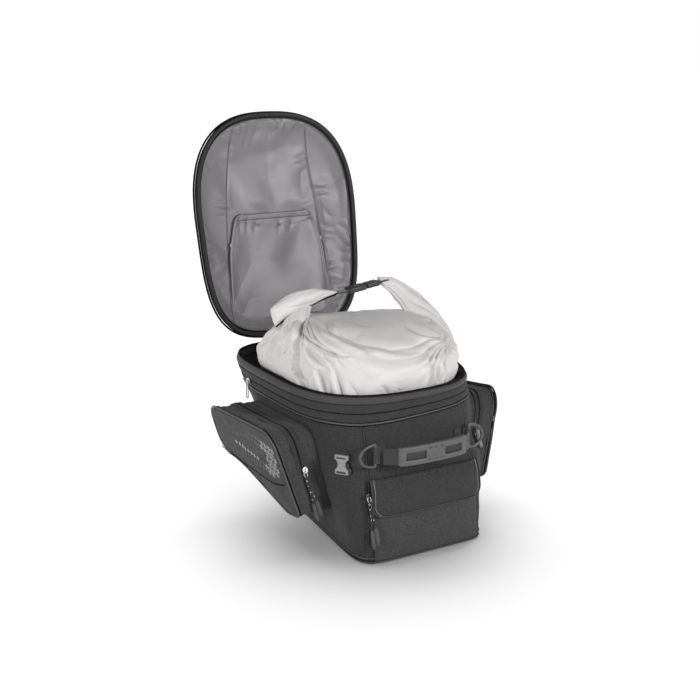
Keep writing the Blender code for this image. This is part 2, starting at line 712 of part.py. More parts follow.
def build_handle(webbing, rubber, metal):
    swing = pivot("handle_axis", Vector((0, HANDLE_Y, HANDLE_Z)))
    path = handle_path(21)
    sweep("handle_strap", path, flat_section(WEBBING_THICK, WEBBING), webbing, parent=swing)

    path = [p for p in handle_path(29) if abs(p.x) <= GRIP_HALF]

    def tube_grid(width, height):
        rows = []
        for i, p in enumerate(path):
            along = (path[min(i + 1, len(path) - 1)] - path[max(i - 1, 0)]).normalized()
            across = along.cross(Vector((0, 0, 1)))
            rows.append([p + across * a + Vector((0, 0, b)) for a, b in flat_section(width, height)])
        return rows

    outer = tube_grid(GRIP_THICK, GRIP_HEIGHT)
    inner = tube_grid(WEBBING_THICK + 0.0012, WEBBING + 0.0012)
    shell("handle_grip", outer, inner, rubber, wrap=True, parent=swing)

    for name, side in (("left", -1), ("right", 1)):
        bar = Vector((side * D_RING_X, HANDLE_Y, HANDLE_Z))
        ring = pivot(f"{name}_d_ring_axis", bar)
        half = 0.0175
        bow = [Vector((side * 0.027 * math.cos(t), half * math.sin(t))) for t in np.linspace(-1.5, 1.5, 11)]
        bow = [Vector((-side * 0.0, -half))] + bow + [Vector((0.0, half))] + [Vector((0.0, half * k))
            for k in (0.33, -0.33)]
        path = [bar + Vector((p.x, 0, p.y)) for p in bow]
        sweep(f"{name}_d_ring", path, round_section(D_RING_RADIUS), metal, up=(0, 1, 0), closed=True,
            parent=ring)

        inside, outside = D_RING_RADIUS + 0.0007, D_RING_RADIUS + 0.0019
        leg = 0.0068
        around = arc((0, 0), outside, math.pi / 2, 3 * math.pi / 2, 8)
        back = arc((0, 0), inside, 3 * math.pi / 2, math.pi / 2, 8)
        profile = [Vector((leg, outside))] + around + [Vector((leg, -outside)),
            Vector((leg, -inside))] + back
        profile += [Vector((leg, inside))]
        height = half - D_RING_RADIUS - 0.003
        rings = [[bar + Vector((-side * p.x, p.y, z)) for p in profile] for z in (-height, height)]
        loft(f"{name}_handle_anchor", rings, webbing)


def corner_frame(side):
    """Outward and across directions of the bag's surface at a rear corner buckle."""
    z = BUCKLE_PLACE.z - 0.015
    points = half_outline(z)
    nearest = min(range(1, len(points) - 1),
        key=lambda i: abs(points[i].y - BUCKLE_PLACE.y) + (points[i].x < 0.09))
    along = (points[nearest + 1] - points[nearest - 1]).normalized()
    out = Vector((side * along.y, -along.x, 0.0))
    return points[nearest], out, Vector((out.y, -out.x, 0.0))


def build_corner_buckles(plastic, webbing):
    for name, side in (("left", -1), ("right", 1)):
        point, out, across = corner_frame(side)
        surface = Vector((side * point.x, point.y, BUCKLE_PLACE.z))

        def plate(piece, outline, low, high, finish, parent=None):
            rings = [[surface + out * d + across * a + Vector((0, 0, b)) for a, b in outline]
                for d in (low, high)]
            loft(piece, rings, finish, parent)

        tab = [(-0.0100, -0.026), (0.0100, -0.026), (0.0100, 0.002), (-0.0100, 0.002)]
        plate(f"{name}_buckle_tab", tab, 0.0030, 0.0044, webbing)
        hinge = pivot(f"{name}_buckle_axis", surface + out * 0.0070 + Vector((0, 0, 0.002)))
        body = [(0.0110, 0.000), (0.0110, -0.006), (0.0060, -0.011), (0.0060, -0.018), (0.0105, -0.023),
            (0.0105, -0.030)]
        body += [(-a, b) for a, b in reversed(body)]
        plate(f"{name}_corner_buckle", body, 0.0052, 0.0112, plastic, hinge)


# ---------------------------------------------------------------- dry bag
def oval(centre_y, half_x, half_y, square, z, count=40, centre_x=0.0):
    made = []
    for i in range(count):
        turn = 2 * math.pi * i / count
        c, s = math.cos(turn), math.sin(turn)
        v = math.copysign(abs(c) ** (2 / square), c)
        u = math.copysign(abs(s) ** (2 / square), s)
        made.append(Vector((centre_x + v * half_x, centre_y + u * half_y, z)))
    return made


def build_dry_bag(nylon, black, parent):
    rings = [
        oval(-0.045, 0.052, 0.115, 3.0, 0.0135),
        oval(-0.045, 0.068, 0.135, 3.2, 0.030),
        oval(-0.043, 0.084, 0.138, 3.2, 0.100),
        oval(-0.042, 0.106, 0.140, 3.0, 0.170),
        oval(-0.042, 0.122, 0.140, 2.8, DRY_BAG_SPLIT - GAP),
    ]
    loft("dry_bag_lower", rings, nylon, parent)

    rings = [
        oval(-0.048, 0.134, 0.134, 2.8, DRY_BAG_SPLIT),
        oval(-0.046, 0.143, 0.139, 2.8, 0.268),
        oval(-0.046, 0.148, 0.136, 2.6, 0.290),
        oval(-0.047, 0.142, 0.122, 2.5, 0.312),
        oval(-0.050, 0.124, 0.098, 2.4, 0.332),
        oval(-0.052, 0.092, 0.066, 2.2, 0.346),
        oval(-0.054, 0.045, 0.032, 2.0, DRY_BAG_TOP),
    ]
    loft("dry_bag_upper", rings, nylon, parent)

    section = flat_section(0.004, 0.026)

    def leg(name, stops):
        path = evenly([Vector(p) for p in stops], 14)
        sweep(name, path, section, nylon, up=(0, 0.94, 0.34), parent=parent)

    leg("roll_top_left", ((-0.142, -0.030, 0.338), (-0.150, -0.015, 0.360), (-0.125, -0.004, 0.385),
        (-0.087, 0, 0.395), (-0.034, 0, 0.385)))
    leg("roll_top_right", ((0.068, 0, 0.401), (0.084, 0, 0.394), (0.104, -0.004, 0.374),
        (0.136, -0.016, 0.357), (0.152, -0.030, 0.338)))

    tilt = Matrix.Rotation(math.radians(-8), 3, "Y")
    centre = Vector((0.018, 0, 0.3905))

    def box_ring(x, half_y, half_z):
        corners = ((half_y, half_z), (-half_y, half_z), (-half_y, -half_z), (half_y, -half_z))
        return [centre + tilt @ Vector((x, y, z)) for y, z in corners]

    def deep(x):
        return centre + tilt @ Vector((x, 0, 0))

    outer = [box_ring(x, y, z) for x, y, z in ((0.004, 0.013, 0.0050), (-0.030, 0.013, 0.0050),
        (-0.046, 0.010, 0.0030))]
    inner = [box_ring(x, y, z) for x, y, z in ((0.004, 0.0110, 0.0032), (-0.026, 0.0110, 0.0032),
        (-0.030, 0.008, 0.0020))]
    cup("roll_buckle_socket", (outer, deep(-0.048)), (inner, deep(-0.032)), black, parent)
    pull = pivot("roll_buckle_plug_axis", centre + tilt @ Vector((0.006, 0, 0)))
    stops = ((-0.020, 0.006, 0.0018), (-0.010, 0.0095, 0.0022), (0.0045, 0.0095, 0.0022),
        (0.0055, 0.013, 0.0050))
    stops += ((0.020, 0.013, 0.0050), (0.044, 0.012, 0.0030))
    loft("roll_buckle_plug", [box_ring(*s) for s in stops], black, pull)


# ---------------------------------------------------------------- the whole bag
def main():
    clear_scene()
    fabric = material("bag_fabric", (0.045, 0.046, 0.048), 0.85)
    rubbery = material("rim_fabric", (0.085, 0.087, 0.090), 0.6)
    board = material("board", (0.10, 0.10, 0.10), 0.6)
    lining = material("lining_satin", (0.19, 0.185, 0.19), 0.4)
    tape = material("zip_tape", (0.025, 0.025, 0.026), 0.7)
    trim = material("piping", (0.06, 0.06, 0.062), 0.5)
    webbing = material("webbing", (0.015, 0.015, 0.015), 0.7)
    rubber = material("grip_rubber", (0.10, 0.10, 0.105), 0.6)
    plastic = material("buckle_plastic", (0.14, 0.14, 0.15), 0.45)
    metal = material("slider_metal", (0.70, 0.70, 0.70), 0.25, 1.0)
    ring_metal = material("ring_metal", (0.16, 0.16, 0.17), 0.4, 0.6)
    cord = material("cord", (0.10, 0.10, 0.105), 0.7)
    nylon = material("dry_bag_nylon", (0.55, 0.54, 0.53), 0.5)

    build_base(fabric, board, trim)
    build_body(fabric)
    build_lining(tape)
    build_collar(fabric, trim)
    rise = pivot("expansion_axis", Vector((0, 0, RIM_LOW)))
    build_upper(fabric, rubbery, tape, rise)
    build_collar_slider(metal)
    swing = pivot("lid_axis", LID_AXIS, -LID_OPEN)
    build_lid(fabric, lining, board, tape, trim, swing)
    for name, side in (("left", -1), ("right", 1)):
        build_side_pocket(name, side, fabric, tape, trim, metal, cord)
    build_rear_pocket(fabric, tape, metal, cord)
    build_handle(webbing, rubber, ring_metal)
    build_corner_buckles(plastic, webbing)
    lift = pivot("dry_bag_axis", Vector((0, -0.045, 0.0135)))
    build_dry_bag(nylon, plastic, lift)


main()
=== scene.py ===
"""Looks of the motorcycle tail bag: its cloth, webbing, zips, buckles and cords, round the CAD frame."""

import json
import math

import bmesh
import bpy
import numpy as np
from mathutils import Matrix, Vector

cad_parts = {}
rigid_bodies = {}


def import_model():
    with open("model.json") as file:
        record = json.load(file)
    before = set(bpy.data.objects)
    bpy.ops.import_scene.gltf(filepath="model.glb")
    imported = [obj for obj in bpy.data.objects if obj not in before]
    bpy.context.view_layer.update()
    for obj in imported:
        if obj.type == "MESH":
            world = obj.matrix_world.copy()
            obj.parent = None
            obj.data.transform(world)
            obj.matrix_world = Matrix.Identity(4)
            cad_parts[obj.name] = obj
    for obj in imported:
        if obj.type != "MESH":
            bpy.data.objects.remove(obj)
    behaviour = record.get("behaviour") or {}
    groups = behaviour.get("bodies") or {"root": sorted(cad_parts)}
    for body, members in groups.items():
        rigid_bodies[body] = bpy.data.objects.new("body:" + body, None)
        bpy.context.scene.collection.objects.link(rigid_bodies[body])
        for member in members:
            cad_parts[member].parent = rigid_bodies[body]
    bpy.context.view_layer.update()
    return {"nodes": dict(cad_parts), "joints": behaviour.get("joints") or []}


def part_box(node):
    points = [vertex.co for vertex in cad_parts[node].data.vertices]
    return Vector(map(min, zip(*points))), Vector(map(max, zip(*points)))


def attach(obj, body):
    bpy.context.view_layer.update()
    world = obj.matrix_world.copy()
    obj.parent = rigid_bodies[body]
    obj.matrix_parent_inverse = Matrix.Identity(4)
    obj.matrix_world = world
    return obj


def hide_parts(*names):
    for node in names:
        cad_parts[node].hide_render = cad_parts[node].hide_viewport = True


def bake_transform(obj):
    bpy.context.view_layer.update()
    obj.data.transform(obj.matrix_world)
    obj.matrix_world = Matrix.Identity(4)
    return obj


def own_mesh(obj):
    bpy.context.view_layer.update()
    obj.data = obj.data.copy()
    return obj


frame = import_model()
TAU = 2 * math.pi

# ---------------------------------------------------------------- the bag's own dimensions, as in the CAD
# height, half width, narrowing, rear, front, squareness of the rear and of the front
PLANS = np.array(
    (
        (0.000, 0.088, 0.34, -0.2230, 0.166, 8.0, 3.2),
        (0.079, 0.109, 0.22, -0.2165, 0.178, 6.2, 3.0),
        (0.159, 0.133, 0.11, -0.2095, 0.189, 4.2, 3.4),
        (0.219, 0.150, 0.06, -0.2040, 0.196, 3.0, 3.7),
        (0.250, 0.160, 0.05, -0.2000, 0.200, 2.6, 3.8),
    )
)
WALL_BOTTOM, WALL_TOP = 0.0061, 0.2165
WALL_THICK = 0.004
REAR_SEAM_X, FRONT_SEAM_X = 0.095, 0.045
RIM_PLAN, RIM_HIGH = 0.250, 0.2655
GUSSET_LOW, GUSSET_HIGH = 0.2285, 0.2465
LID_OPEN = math.radians(100)
LID_AXIS = Vector((0.0, 0.2045, 0.2672))
LID_EDGE_Z, LID_WALL, LID_CROWN, LID_THICK = 0.2680, 0.011, 0.030, 0.003
# the side pocket's outline: (y, z, corner radius)
POCKET_CORNERS = (
    (-0.123, 0.206, 0.032),
    (0.098, 0.198, 0.028),
    (0.099, 0.125, 0.025),
    (0.020, 0.108, 0.060),
    (-0.097, 0.063, 0.030),
    (-0.137, 0.068, 0.010),
)
REAR_POCKET_TOP = 0.1065
FLAP_TOP, FLAP_BOTTOM = 0.136, 0.079
HANDLE_Z, HANDLE_Y = 0.175, -0.2135
D_RING_X = 0.0885
DRY_BAG_SPLIT = 0.2485
SATIN_DROP = LID_THICK + 0.0064
ACROSS = np.array((0.852, -0.524, 0.0))
TOWARDS = np.array((-0.51, -0.83, 0.24))
DRY_FOLDS = (
    (((-0.072, 0.368), (-0.0837, 0.3414), (-0.0853, 0.3134), (-0.0846, 0.2858), (-0.07, 0.2705)), 0.006,
        0.0032),
    (((-0.0951, 0.3057), (-0.0779, 0.2705), (-0.068, 0.2475)), 0.0046, 0.0030),
    (((-0.1075, 0.3241), (-0.1174, 0.3031), (-0.1201, 0.2801)), 0.0024, 0.0028),
    (((-0.1267, 0.3338), (-0.1406, 0.3134), (-0.1549, 0.2955)), 0.0026, 0.0030),
    (((-0.110, 0.340), (-0.128, 0.312), (-0.138, 0.280)), 0.0022, 0.0028),
    (((-0.0799, 0.3477), (-0.0459, 0.328), (-0.0094, 0.3204)), 0.0034, 0.0042),
    (((-0.078, 0.340), (-0.058, 0.312), (-0.040, 0.300)), 0.0026, 0.0040),
    (((-0.0694, 0.360), (-0.0251, 0.3477), (0.0266, 0.3234)), 0.0024, 0.0036),
    (((-0.020, 0.352), (0.022, 0.3325), (0.0955, 0.3128)), 0.0022, 0.0040),
    (((-0.0517, 0.292), (-0.043, 0.268), (-0.0381, 0.252)), 0.0042, 0.0036),
    (((-0.0251, 0.294), (-0.017, 0.270), (-0.0126, 0.252)), 0.0032, 0.0040),
    (((0.048, 0.272), (0.055, 0.262), (0.060, 0.252)), 0.0022, 0.0026),
    (((0.068, 0.276), (0.072, 0.264), (0.080, 0.252)), 0.0022, 0.0026),
    (((0.1229, 0.3125), (0.1262, 0.276), (0.118, 0.245)), 0.0026, 0.0034),
    (((0.1344, 0.3078), (0.1377, 0.2649)), 0.0022, 0.0028),
    (((0.149, 0.3205), (0.158, 0.276)), 0.0022, 0.0028),
    (((0.086, 0.346), (0.1241, 0.3300), (0.150, 0.322)), 0.0026, 0.0034),
)
SLUMP_Y, SLUMP_TOP = 0.17, 0.0055
# bodies that keep their shape and place when the loaded bag settles
FIRM_BODIES = ("lid", "left_lid_slider", "right_lid_slider", "dry_bag", "roll_buckle_plug")
SIDES = (("left", -1), ("right", 1))
LID_TURN = (
    Matrix.Translation(LID_AXIS) @ Matrix.Rotation(-LID_OPEN, 4, "X") @ Matrix.Translation(-LID_AXIS)
)
LID_UP = np.array(LID_TURN.to_3x3() @ Vector((0, 0, 1)))
BODY_MIDDLE = (0, 0, 0.1)
BOX_FACES = ((3, 2, 1, 0), (4, 5, 6, 7), (0, 1, 5, 4), (1, 2, 6, 5), (2, 3, 7, 6), (3, 0, 4, 7))


# ---------------------------------------------------------------- lines, grids and noise
def eased(t):
    t = np.clip(t, 0.0, 1.0)
    return t * t * (3 - 2 * t)


def near(distance, reach):
    """1 at distance 0, falling smoothly to 0 at reach."""
    return 1 - eased(np.abs(distance) / reach)


def noise(points, length, seed, waves=16):
    """Smooth noise of about -1 to 1 with that wavelength, the same each run."""
    rng = np.random.default_rng(seed)
    turn = rng.normal(size=(waves, 3))
    turn /= np.linalg.norm(turn, axis=1, keepdims=True)
    turn *= TAU / length * rng.uniform(0.7, 1.4, (waves, 1))
    phase = rng.uniform(0, TAU, waves)
    return np.sin(np.asarray(points) @ turn.T + phase).sum(-1) / math.sqrt(waves) * 0.8


def evenly(points, count, closed=False):
    """This many points, evenly spaced along a line."""
    line = np.asarray([tuple(p) for p in points], float)
    if closed:
        line = np.vstack([line, line[:1]])
    reach = np.concatenate([[0.0], np.cumsum(np.linalg.norm(np.diff(line, axis=0), axis=1))])
    marks = np.linspace(0.0, reach[-1], count + 1 if closed else count)
    made = np.stack([np.interp(marks, reach, line[:, k]) for k in range(line.shape[1])], 1)
    return made[:-1] if closed else made


def smooth_line(points, count, closed=False):
    """A Catmull-Rom curve through points, evenly spaced."""
    p = np.asarray([tuple(q) for q in points], float)
    before = p[-1:] if closed else 2 * p[:1] - p[1:2]
    after = p[:2] if closed else 2 * p[-1:] - p[-2:-1]
    p = np.vstack([before, p, after])
    made = []
    for a, b, c, d in zip(p[:-3], p[1:-2], p[2:-1], p[3:], strict=True):
        square, cube = 2 * a - 5 * b + 4 * c - d, 3 * b - a - 3 * c + d
        for t in np.linspace(0, 1, 16, endpoint=False):
            made.append(0.5 * (2 * b + (c - a) * t + square * t**2 + cube * t**3))
    if not closed:
        made.append(p[-2])
    return evenly(made, count, closed)


def moved_in(points, inset):
    """A closed flat outline moved inwards."""
    after, before = np.roll(points, -1, 0), np.roll(points, 1, 0)
    area = np.sum(points[:, 0] * after[:, 1] - points[:, 1] * after[:, 0])
    along = after - before
    along /= np.linalg.norm(along, axis=1, keepdims=True)
    return points + np.stack([-along[:, 1], along[:, 0]], 1) * inset * (1.0 if area > 0 else -1.0)


def offset_line(line, inset):
    """An open flat line moved to its left."""
    along = np.gradient(line, axis=0)
    along /= np.linalg.norm(along, axis=1, keepdims=True)
    return line + np.stack([-along[:, 1], along[:, 0]], 1) * inset


def rounded_polygon(corners, steps=14):
    """An outline through corners of (a, b, radius)."""
    made = []
    for i, (a, b, radius) in enumerate(corners):
        here = Vector((a, b))
        to_last = (Vector(corners[i - 1][:2]) - here).normalized()
        to_next = (Vector(corners[(i + 1) % len(corners)][:2]) - here).normalized()
        half = to_last.angle(to_next) / 2
        reach = radius / math.tan(half)
        centre = here + (to_last + to_next).normalized() * (radius / math.sin(half))
        start, end = here + to_last * reach - centre, here + to_next * reach - centre
        turn = start.angle_signed(end)
        made += [centre + Matrix.Rotation(-turn * k / steps, 2) @ start for k in range(steps + 1)]
    return np.array([tuple(p) for p in made])


def plan(z):
    """The plan's dimensions at height z, between those of PLANS."""
    i = int(np.clip(np.searchsorted(PLANS[:, 0], z) - 1, 0, len(PLANS) - 2))
    t = float(np.clip((z - PLANS[i, 0]) / (PLANS[i + 1, 0] - PLANS[i, 0]), 0.0, 1.3))
    return PLANS[i] + (PLANS[i + 1] - PLANS[i]) * t


def half_outline(z, steps=400):
    """The right half of the plan at height z, from the middle of the rear to the middle of the front."""
    _, width, narrowing, rear, front, rear_square, front_square = plan(z)
    turn = math.pi * (np.arange(steps + 1) / steps - 0.5)
    power = np.where(turn < 0, 2 / rear_square, 2 / front_square)
    v = np.abs(np.cos(turn)) ** power
    v[[0, -1]] = 0.0
    u = np.sign(np.sin(turn)) * np.abs(np.sin(turn)) ** power
    return np.stack([v * width * (1 - narrowing * u), (rear + front) / 2 + u * (front - rear) / 2], 1)


def plan_ring(z, inset=0.0, count=240, at_z=None):
    """A closed line round the bag on its plan at height z, moved in, and placed at at_z if given."""
    right = half_outline(z)
    left = right[1:-1][::-1] * (-1, 1)
    points = moved_in(evenly(np.vstack([right, left]), count, closed=True), inset)
    return np.column_stack([points, np.full(count, z if at_z is None else at_z)])


def body_x(y, z):
    """Half the bag's width at a place."""
    _, width, narrowing, rear, front, rear_square, front_square = plan(z)
    u = (y - (rear + front) / 2) / ((front - rear) / 2)
    power = rear_square if u < 0 else front_square
    return width * (1 - narrowing * u) * max(0.0, 1 - abs(u) ** power) ** (1 / power)


def rear_y(x, z):
    points = half_outline(z)
    rear = points[: int(np.argmax(points[:, 0])) + 1]
    return np.interp(np.abs(x), rear[:, 0], rear[:, 1])


def front_y(x, z):
    points = half_outline(z)
    front = points[int(np.argmax(points[:, 0])) :][::-1]
    return np.interp(np.abs(x), front[:, 0], front[:, 1])


def side_line(z, count, inset=0.0):
    """The right wall's line at height z, from the rear seam to the front seam."""
    points = half_outline(z)
    widest = int(np.argmax(points[:, 0]))
    rear_x, front_x = REAR_SEAM_X + 0.0005, FRONT_SEAM_X + 0.0005
    kept = points[points[:, 0] > np.where(np.arange(len(points)) <= widest, rear_x, front_x)]
    line = np.vstack([[rear_x, rear_y(rear_x, z)], kept, [front_x, front_y(front_x, z)]])
    return offset_line(evenly(line, count), inset)


def normals(grid, inside, wrap_u=False):
    """Unit normals of a grid of points, facing away from inside."""
    padded = np.concatenate([grid[:, -1:], grid, grid[:, :1]], 1) if wrap_u else grid
    du = np.gradient(padded, axis=1)
    if wrap_u:
        du = du[:, 1:-1]
    n = np.cross(du, np.gradient(grid, axis=0))
    n /= np.maximum(np.linalg.norm(n, axis=2, keepdims=True), 1e-12)
    if np.sum(n * (grid - np.asarray(inside))) < 0:
        n = -n
    return n


def relief(grid, inside, height, wrap_u=False):
    return grid + normals(grid, inside, wrap_u) * np.asarray(height)[..., None]


def lengths(grid):
    """(distance along each row, distance down each column), as two grids."""
    across = np.zeros(grid.shape[:2])
    across[:, 1:] = np.cumsum(np.linalg.norm(np.diff(grid, axis=1), axis=2), 1)
    down = np.zeros(grid.shape[:2])
    down[1:] = np.cumsum(np.linalg.norm(np.diff(grid, axis=0), axis=2), 0)
    return across, down


def settled(points):
    """The loaded bag's rear sinks a little under its own weight, and its lower rear leans to the right."""
    p = np.array(points, float)
    rear = eased(-p[:, 1] / SLUMP_Y)
    low = np.clip(SLUMP_TOP + 0.055 * p[:, 0], 0.0, 2 * SLUMP_TOP)
    share = np.clip((p[:, 2] - WALL_TOP) / (RIM_HIGH - WALL_TOP), 0, 1)
    p[:, 2] += eased((p[:, 2] - 0.180) / 0.036) * rear * (low + (-SLUMP_TOP - low) * share)
    lean = eased((0.17 - p[:, 2]) / 0.04) * eased((-0.12 - p[:, 1]) / 0.04)
    p[:, 0] += 0.011 * eased(p[:, 0] / 0.09) * lean
    return p


# ---------------------------------------------------------------- materials
class Nodes:
    """A short way to write a material's node tree."""

    def __init__(self, name, color, roughness, **settings):
        self.made = bpy.data.materials.new(name)
        self.made.use_nodes = True
        self.tree = self.made.node_tree
        self.shader = self.tree.nodes["Principled BSDF"]
        self.color = color
        self.shader.inputs["Base Color"].default_value = (*color, 1.0)
        self.shader.inputs["Roughness"].default_value = roughness
        for key, value in settings.items():
            self.shader.inputs[key.replace("_", " ")].default_value = value
        self.place = self.tree.nodes.new("ShaderNodeTexCoord")

    def math(self, kind, a, b=None):
        node = self.tree.nodes.new("ShaderNodeMath")
        node.operation = kind
        for socket, value in zip(node.inputs, (a, b), strict=False):
            if isinstance(value, (int, float)):
                socket.default_value = value
            elif value is not None:
                self.tree.links.new(value, socket)
        return node.outputs[0]

    def grain(self, size, detail=2.0, space="Object"):
        node = self.tree.nodes.new("ShaderNodeTexNoise")
        node.inputs["Scale"].default_value = 1.0 / size
        node.inputs["Detail"].default_value = detail
        self.tree.links.new(self.place.outputs[space], node.inputs["Vector"])
        return node.outputs["Fac"]

    def weave(self, yarn):
        """Crossing yarns, each this wide, as a height from 0 to 1."""
        split = self.tree.nodes.new("ShaderNodeSeparateXYZ")
        self.tree.links.new(self.place.outputs["UV"], split.inputs[0])
        a = self.math("SINE", self.math("MULTIPLY", split.outputs[0], math.pi / yarn))
        b = self.math("SINE", self.math("MULTIPLY", split.outputs[1], math.pi / yarn))
        return self.math("ADD", self.math("MULTIPLY", self.math("MULTIPLY", a, b), 0.5), 0.5)

    def shade(self, parts):
        """Varies the colour: each part is (socket from 0 to 1, strength)."""
        total = None
        for socket, strength in parts:
            term = self.math("MULTIPLY", self.math("SUBTRACT", socket, 0.5), 2 * strength)
            total = term if total is None else self.math("ADD", total, term)
        factor = self.math("ADD", total, 1.0)
        node = self.tree.nodes.new("ShaderNodeVectorMath")
        node.operation = "SCALE"
        node.inputs[0].default_value = self.color
        self.tree.links.new(factor, node.inputs["Scale"])
        self.tree.links.new(node.outputs[0], self.shader.inputs["Base Color"])

    def bump(self, height, distance, strength=1.0):
        node = self.tree.nodes.new("ShaderNodeBump")
        node.inputs["Distance"].default_value = distance
        node.inputs["Strength"].default_value = strength
        self.tree.links.new(height, node.inputs["Height"])
        last = self.shader.inputs["Normal"]
        if last.is_linked:
            self.tree.links.new(last.links[0].from_socket, node.inputs["Normal"])
        self.tree.links.new(node.outputs[0], last)


def woven(name, color, yarn=0.0011, roughness=0.85, sheen=0.1, speckle=1.0, depth=0.0004, gloss=0.3):
    m = Nodes(name, color, roughness, Sheen_Weight=sheen, Sheen_Roughness=0.5, Specular_IOR_Level=gloss)
    fine, wide, weave = m.grain(0.0021, 3.0), m.grain(0.05, 2.0), m.weave(yarn)
    m.shade(((fine, speckle), (wide, 0.10), (weave, 0.22)))
    m.bump(weave, depth)
    m.bump(fine, depth * 1.2)
    return m.made


def satin(name, color, roughness, sheen, patches=0.06, fold=0.0):
    m = Nodes(name, color, roughness, Sheen_Weight=sheen, Sheen_Roughness=0.35, Specular_IOR_Level=0.5)
    wide, fine, weave = m.grain(0.06, 3.0), m.grain(0.0016, 2.0), m.weave(0.0006)
    m.shade(((wide, patches), (fine, 0.06), (weave, 0.05)))
    m.bump(weave, 0.00006)
    if fold:
        m.bump(m.grain(0.016, 4.0), fold)
    return m.made


def moulded(name, color, roughness, pit=0.0012, depth=0.00008, **settings):
    m = Nodes(name, color, roughness, **settings)
    fine, wide = m.grain(pit, 3.0), m.grain(0.02, 2.0)
    m.shade(((wide, 0.10), (fine, 0.08)))
    m.bump(fine, depth)
    return m.made


def ribbed_webbing(name, color, roughness=0.6):
    m = Nodes(name, color, roughness, Sheen_Weight=0.3, Sheen_Roughness=0.4)
    weave, fine = m.weave(0.0016), m.grain(0.0012, 2.0)
    m.shade(((weave, 0.35), (fine, 0.2)))
    m.bump(weave, 0.0005)
    return m.made


def flecked_cord(name, color, fleck):
    m = Nodes(name, color, 0.8)
    spots = m.grain(0.0032, 1.0)
    mix = m.tree.nodes.new("ShaderNodeMix")
    mix.data_type = "RGBA"
    mix.inputs[6].default_value = (*color, 1.0)
    mix.inputs[7].default_value = (*fleck, 1.0)
    m.tree.links.new(m.math("GREATER_THAN", spots, 0.655), mix.inputs[0])
    m.tree.links.new(mix.outputs[2], m.shader.inputs["Base Color"])
    m.bump(m.grain(0.0009, 2.0), 0.0003)
    return m.made


FABRIC = woven("bag_fabric", (0.027, 0.027, 0.028))
LID_CLOTH = woven("lid_fabric", (0.027, 0.027, 0.028), sheen=0.06, gloss=0.15)
FABRIC_BAND = woven("band_fabric", (0.029, 0.029, 0.030), yarn=0.0014, speckle=0.7, depth=0.0005)
POCKET_CLOTH = woven("pocket_fabric", (0.042, 0.042, 0.044))
RIM = woven("rim_fabric", (0.043, 0.043, 0.045), yarn=0.0007, roughness=0.6, speckle=0.12, depth=0.00015)
# dark trim, and also the thin dark lines that are painted shade in the grooves beside the collar's piping
DARK = woven("dark_trim_and_painted_groove_shade", (0.008,) * 3, yarn=0.0008, roughness=0.9, speckle=0.2, sheen=0.0, gloss=0.08)
INNER = satin("inner_lining", (0.012, 0.012, 0.013), 0.5, 0.1, fold=0.0006)
GUSSET = satin("gusset_cloth", (0.018, 0.018, 0.019), 0.6, 0.08, fold=0.0006)
SATIN = satin("lining_satin", (0.150, 0.142, 0.152), 0.32, 0.15)
SATIN_POCKET = satin("pocket_satin", (0.120, 0.114, 0.122), 0.32, 0.12)
SATIN_HEM = satin("hem_satin", (0.092, 0.087, 0.094), 0.32, 0.12)
# a dark copy of the satin for thin strips of painted shade: beside the lining's seams and under the pocket's
# edge
SATIN_PAINTED_SHADE = satin("satin_shadow", (0.035, 0.033, 0.036), 0.5, 0.05)
SATIN_LIGHT = satin("satin_thread", (0.30, 0.29, 0.30), 0.5, 0.1)
NYLON = satin("dry_bag_nylon", (0.548, 0.525, 0.522), 0.45, 0.10, patches=0.03, fold=0.00018)
TRIM = moulded("piping", (0.055, 0.055, 0.057), 0.5)
TRIM_DARK = moulded("dark_piping", (0.017, 0.017, 0.018), 0.5)
REFLECTIVE = moulded("reflective_trim", (0.12, 0.12, 0.125), 0.4)
PRINT = moulded("print", (0.36, 0.36, 0.37), 0.5)
PRINT_DIM = moulded("print_dim", (0.15, 0.15, 0.155), 0.5)
WEBBING = ribbed_webbing("webbing", (0.016, 0.016, 0.017))
GRIP = moulded("grip_rubber", (0.075, 0.075, 0.077), 0.45, depth=0.00012)
GRIP_DARK = moulded("grip_insert", (0.020, 0.020, 0.021), 0.5, depth=0.0003)
BUCKLE = moulded("buckle_grey", (0.22, 0.22, 0.23), 0.4)
BUCKLE_DARK = moulded("buckle_black", (0.018, 0.018, 0.019), 0.35)
METAL = moulded("slider_metal", (0.72, 0.72, 0.73), 0.25, Metallic=1.0)
RING = moulded("ring_metal", (0.075, 0.075, 0.078), 0.45, Metallic=0.3)
CORD = flecked_cord("cord", (0.02, 0.02, 0.021), (0.55, 0.55, 0.56))
CORD_END = moulded("cord_end", (0.050, 0.050, 0.052), 0.5)
THREAD = moulded("thread", (0.05, 0.05, 0.052), 0.6)
COIL = moulded("zip_coil", (0.014, 0.014, 0.015), 0.6, Specular_IOR_Level=0.12)


# ---------------------------------------------------------------- pieces
PLACED = []
BLENDED = "two bodies"


def place(obj, finish, body, stands_for=()):
    PLACED.append((obj, body))
    obj.data.materials.append(finish)
    if body != BLENDED:
        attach(obj, body)
    if stands_for:
        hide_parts(*stands_for)
    return obj


def mesh_object(name, verts, faces, uvs=None, sharp=40, weld=True):
    """An object from points and faces. uvs has one (u, v) in metres for each point."""
    mesh = bpy.data.meshes.new(name)
    mesh.from_pydata([tuple(v) for v in verts], [], [tuple(f) for f in faces])
    if uvs is not None:
        index = np.zeros(len(mesh.loops), np.int32)
        mesh.loops.foreach_get("vertex_index", index)
        layer = mesh.uv_layers.new(name="UVMap")
        layer.data.foreach_set("uv", np.asarray(uvs, np.float32)[index].ravel())
    bm = bmesh.new()
    bm.from_mesh(mesh)
    if weld:
        bmesh.ops.remove_doubles(bm, verts=bm.verts, dist=1e-6)
        bmesh.ops.dissolve_degenerate(bm, edges=bm.edges, dist=1e-7)
    bm.to_mesh(mesh)
    bm.free()
    mesh.shade_smooth()
    mesh.set_sharp_from_angle(angle=math.radians(sharp))
    obj = bpy.data.objects.new(name, mesh)
    bpy.context.scene.collection.objects.link(obj)
    return obj


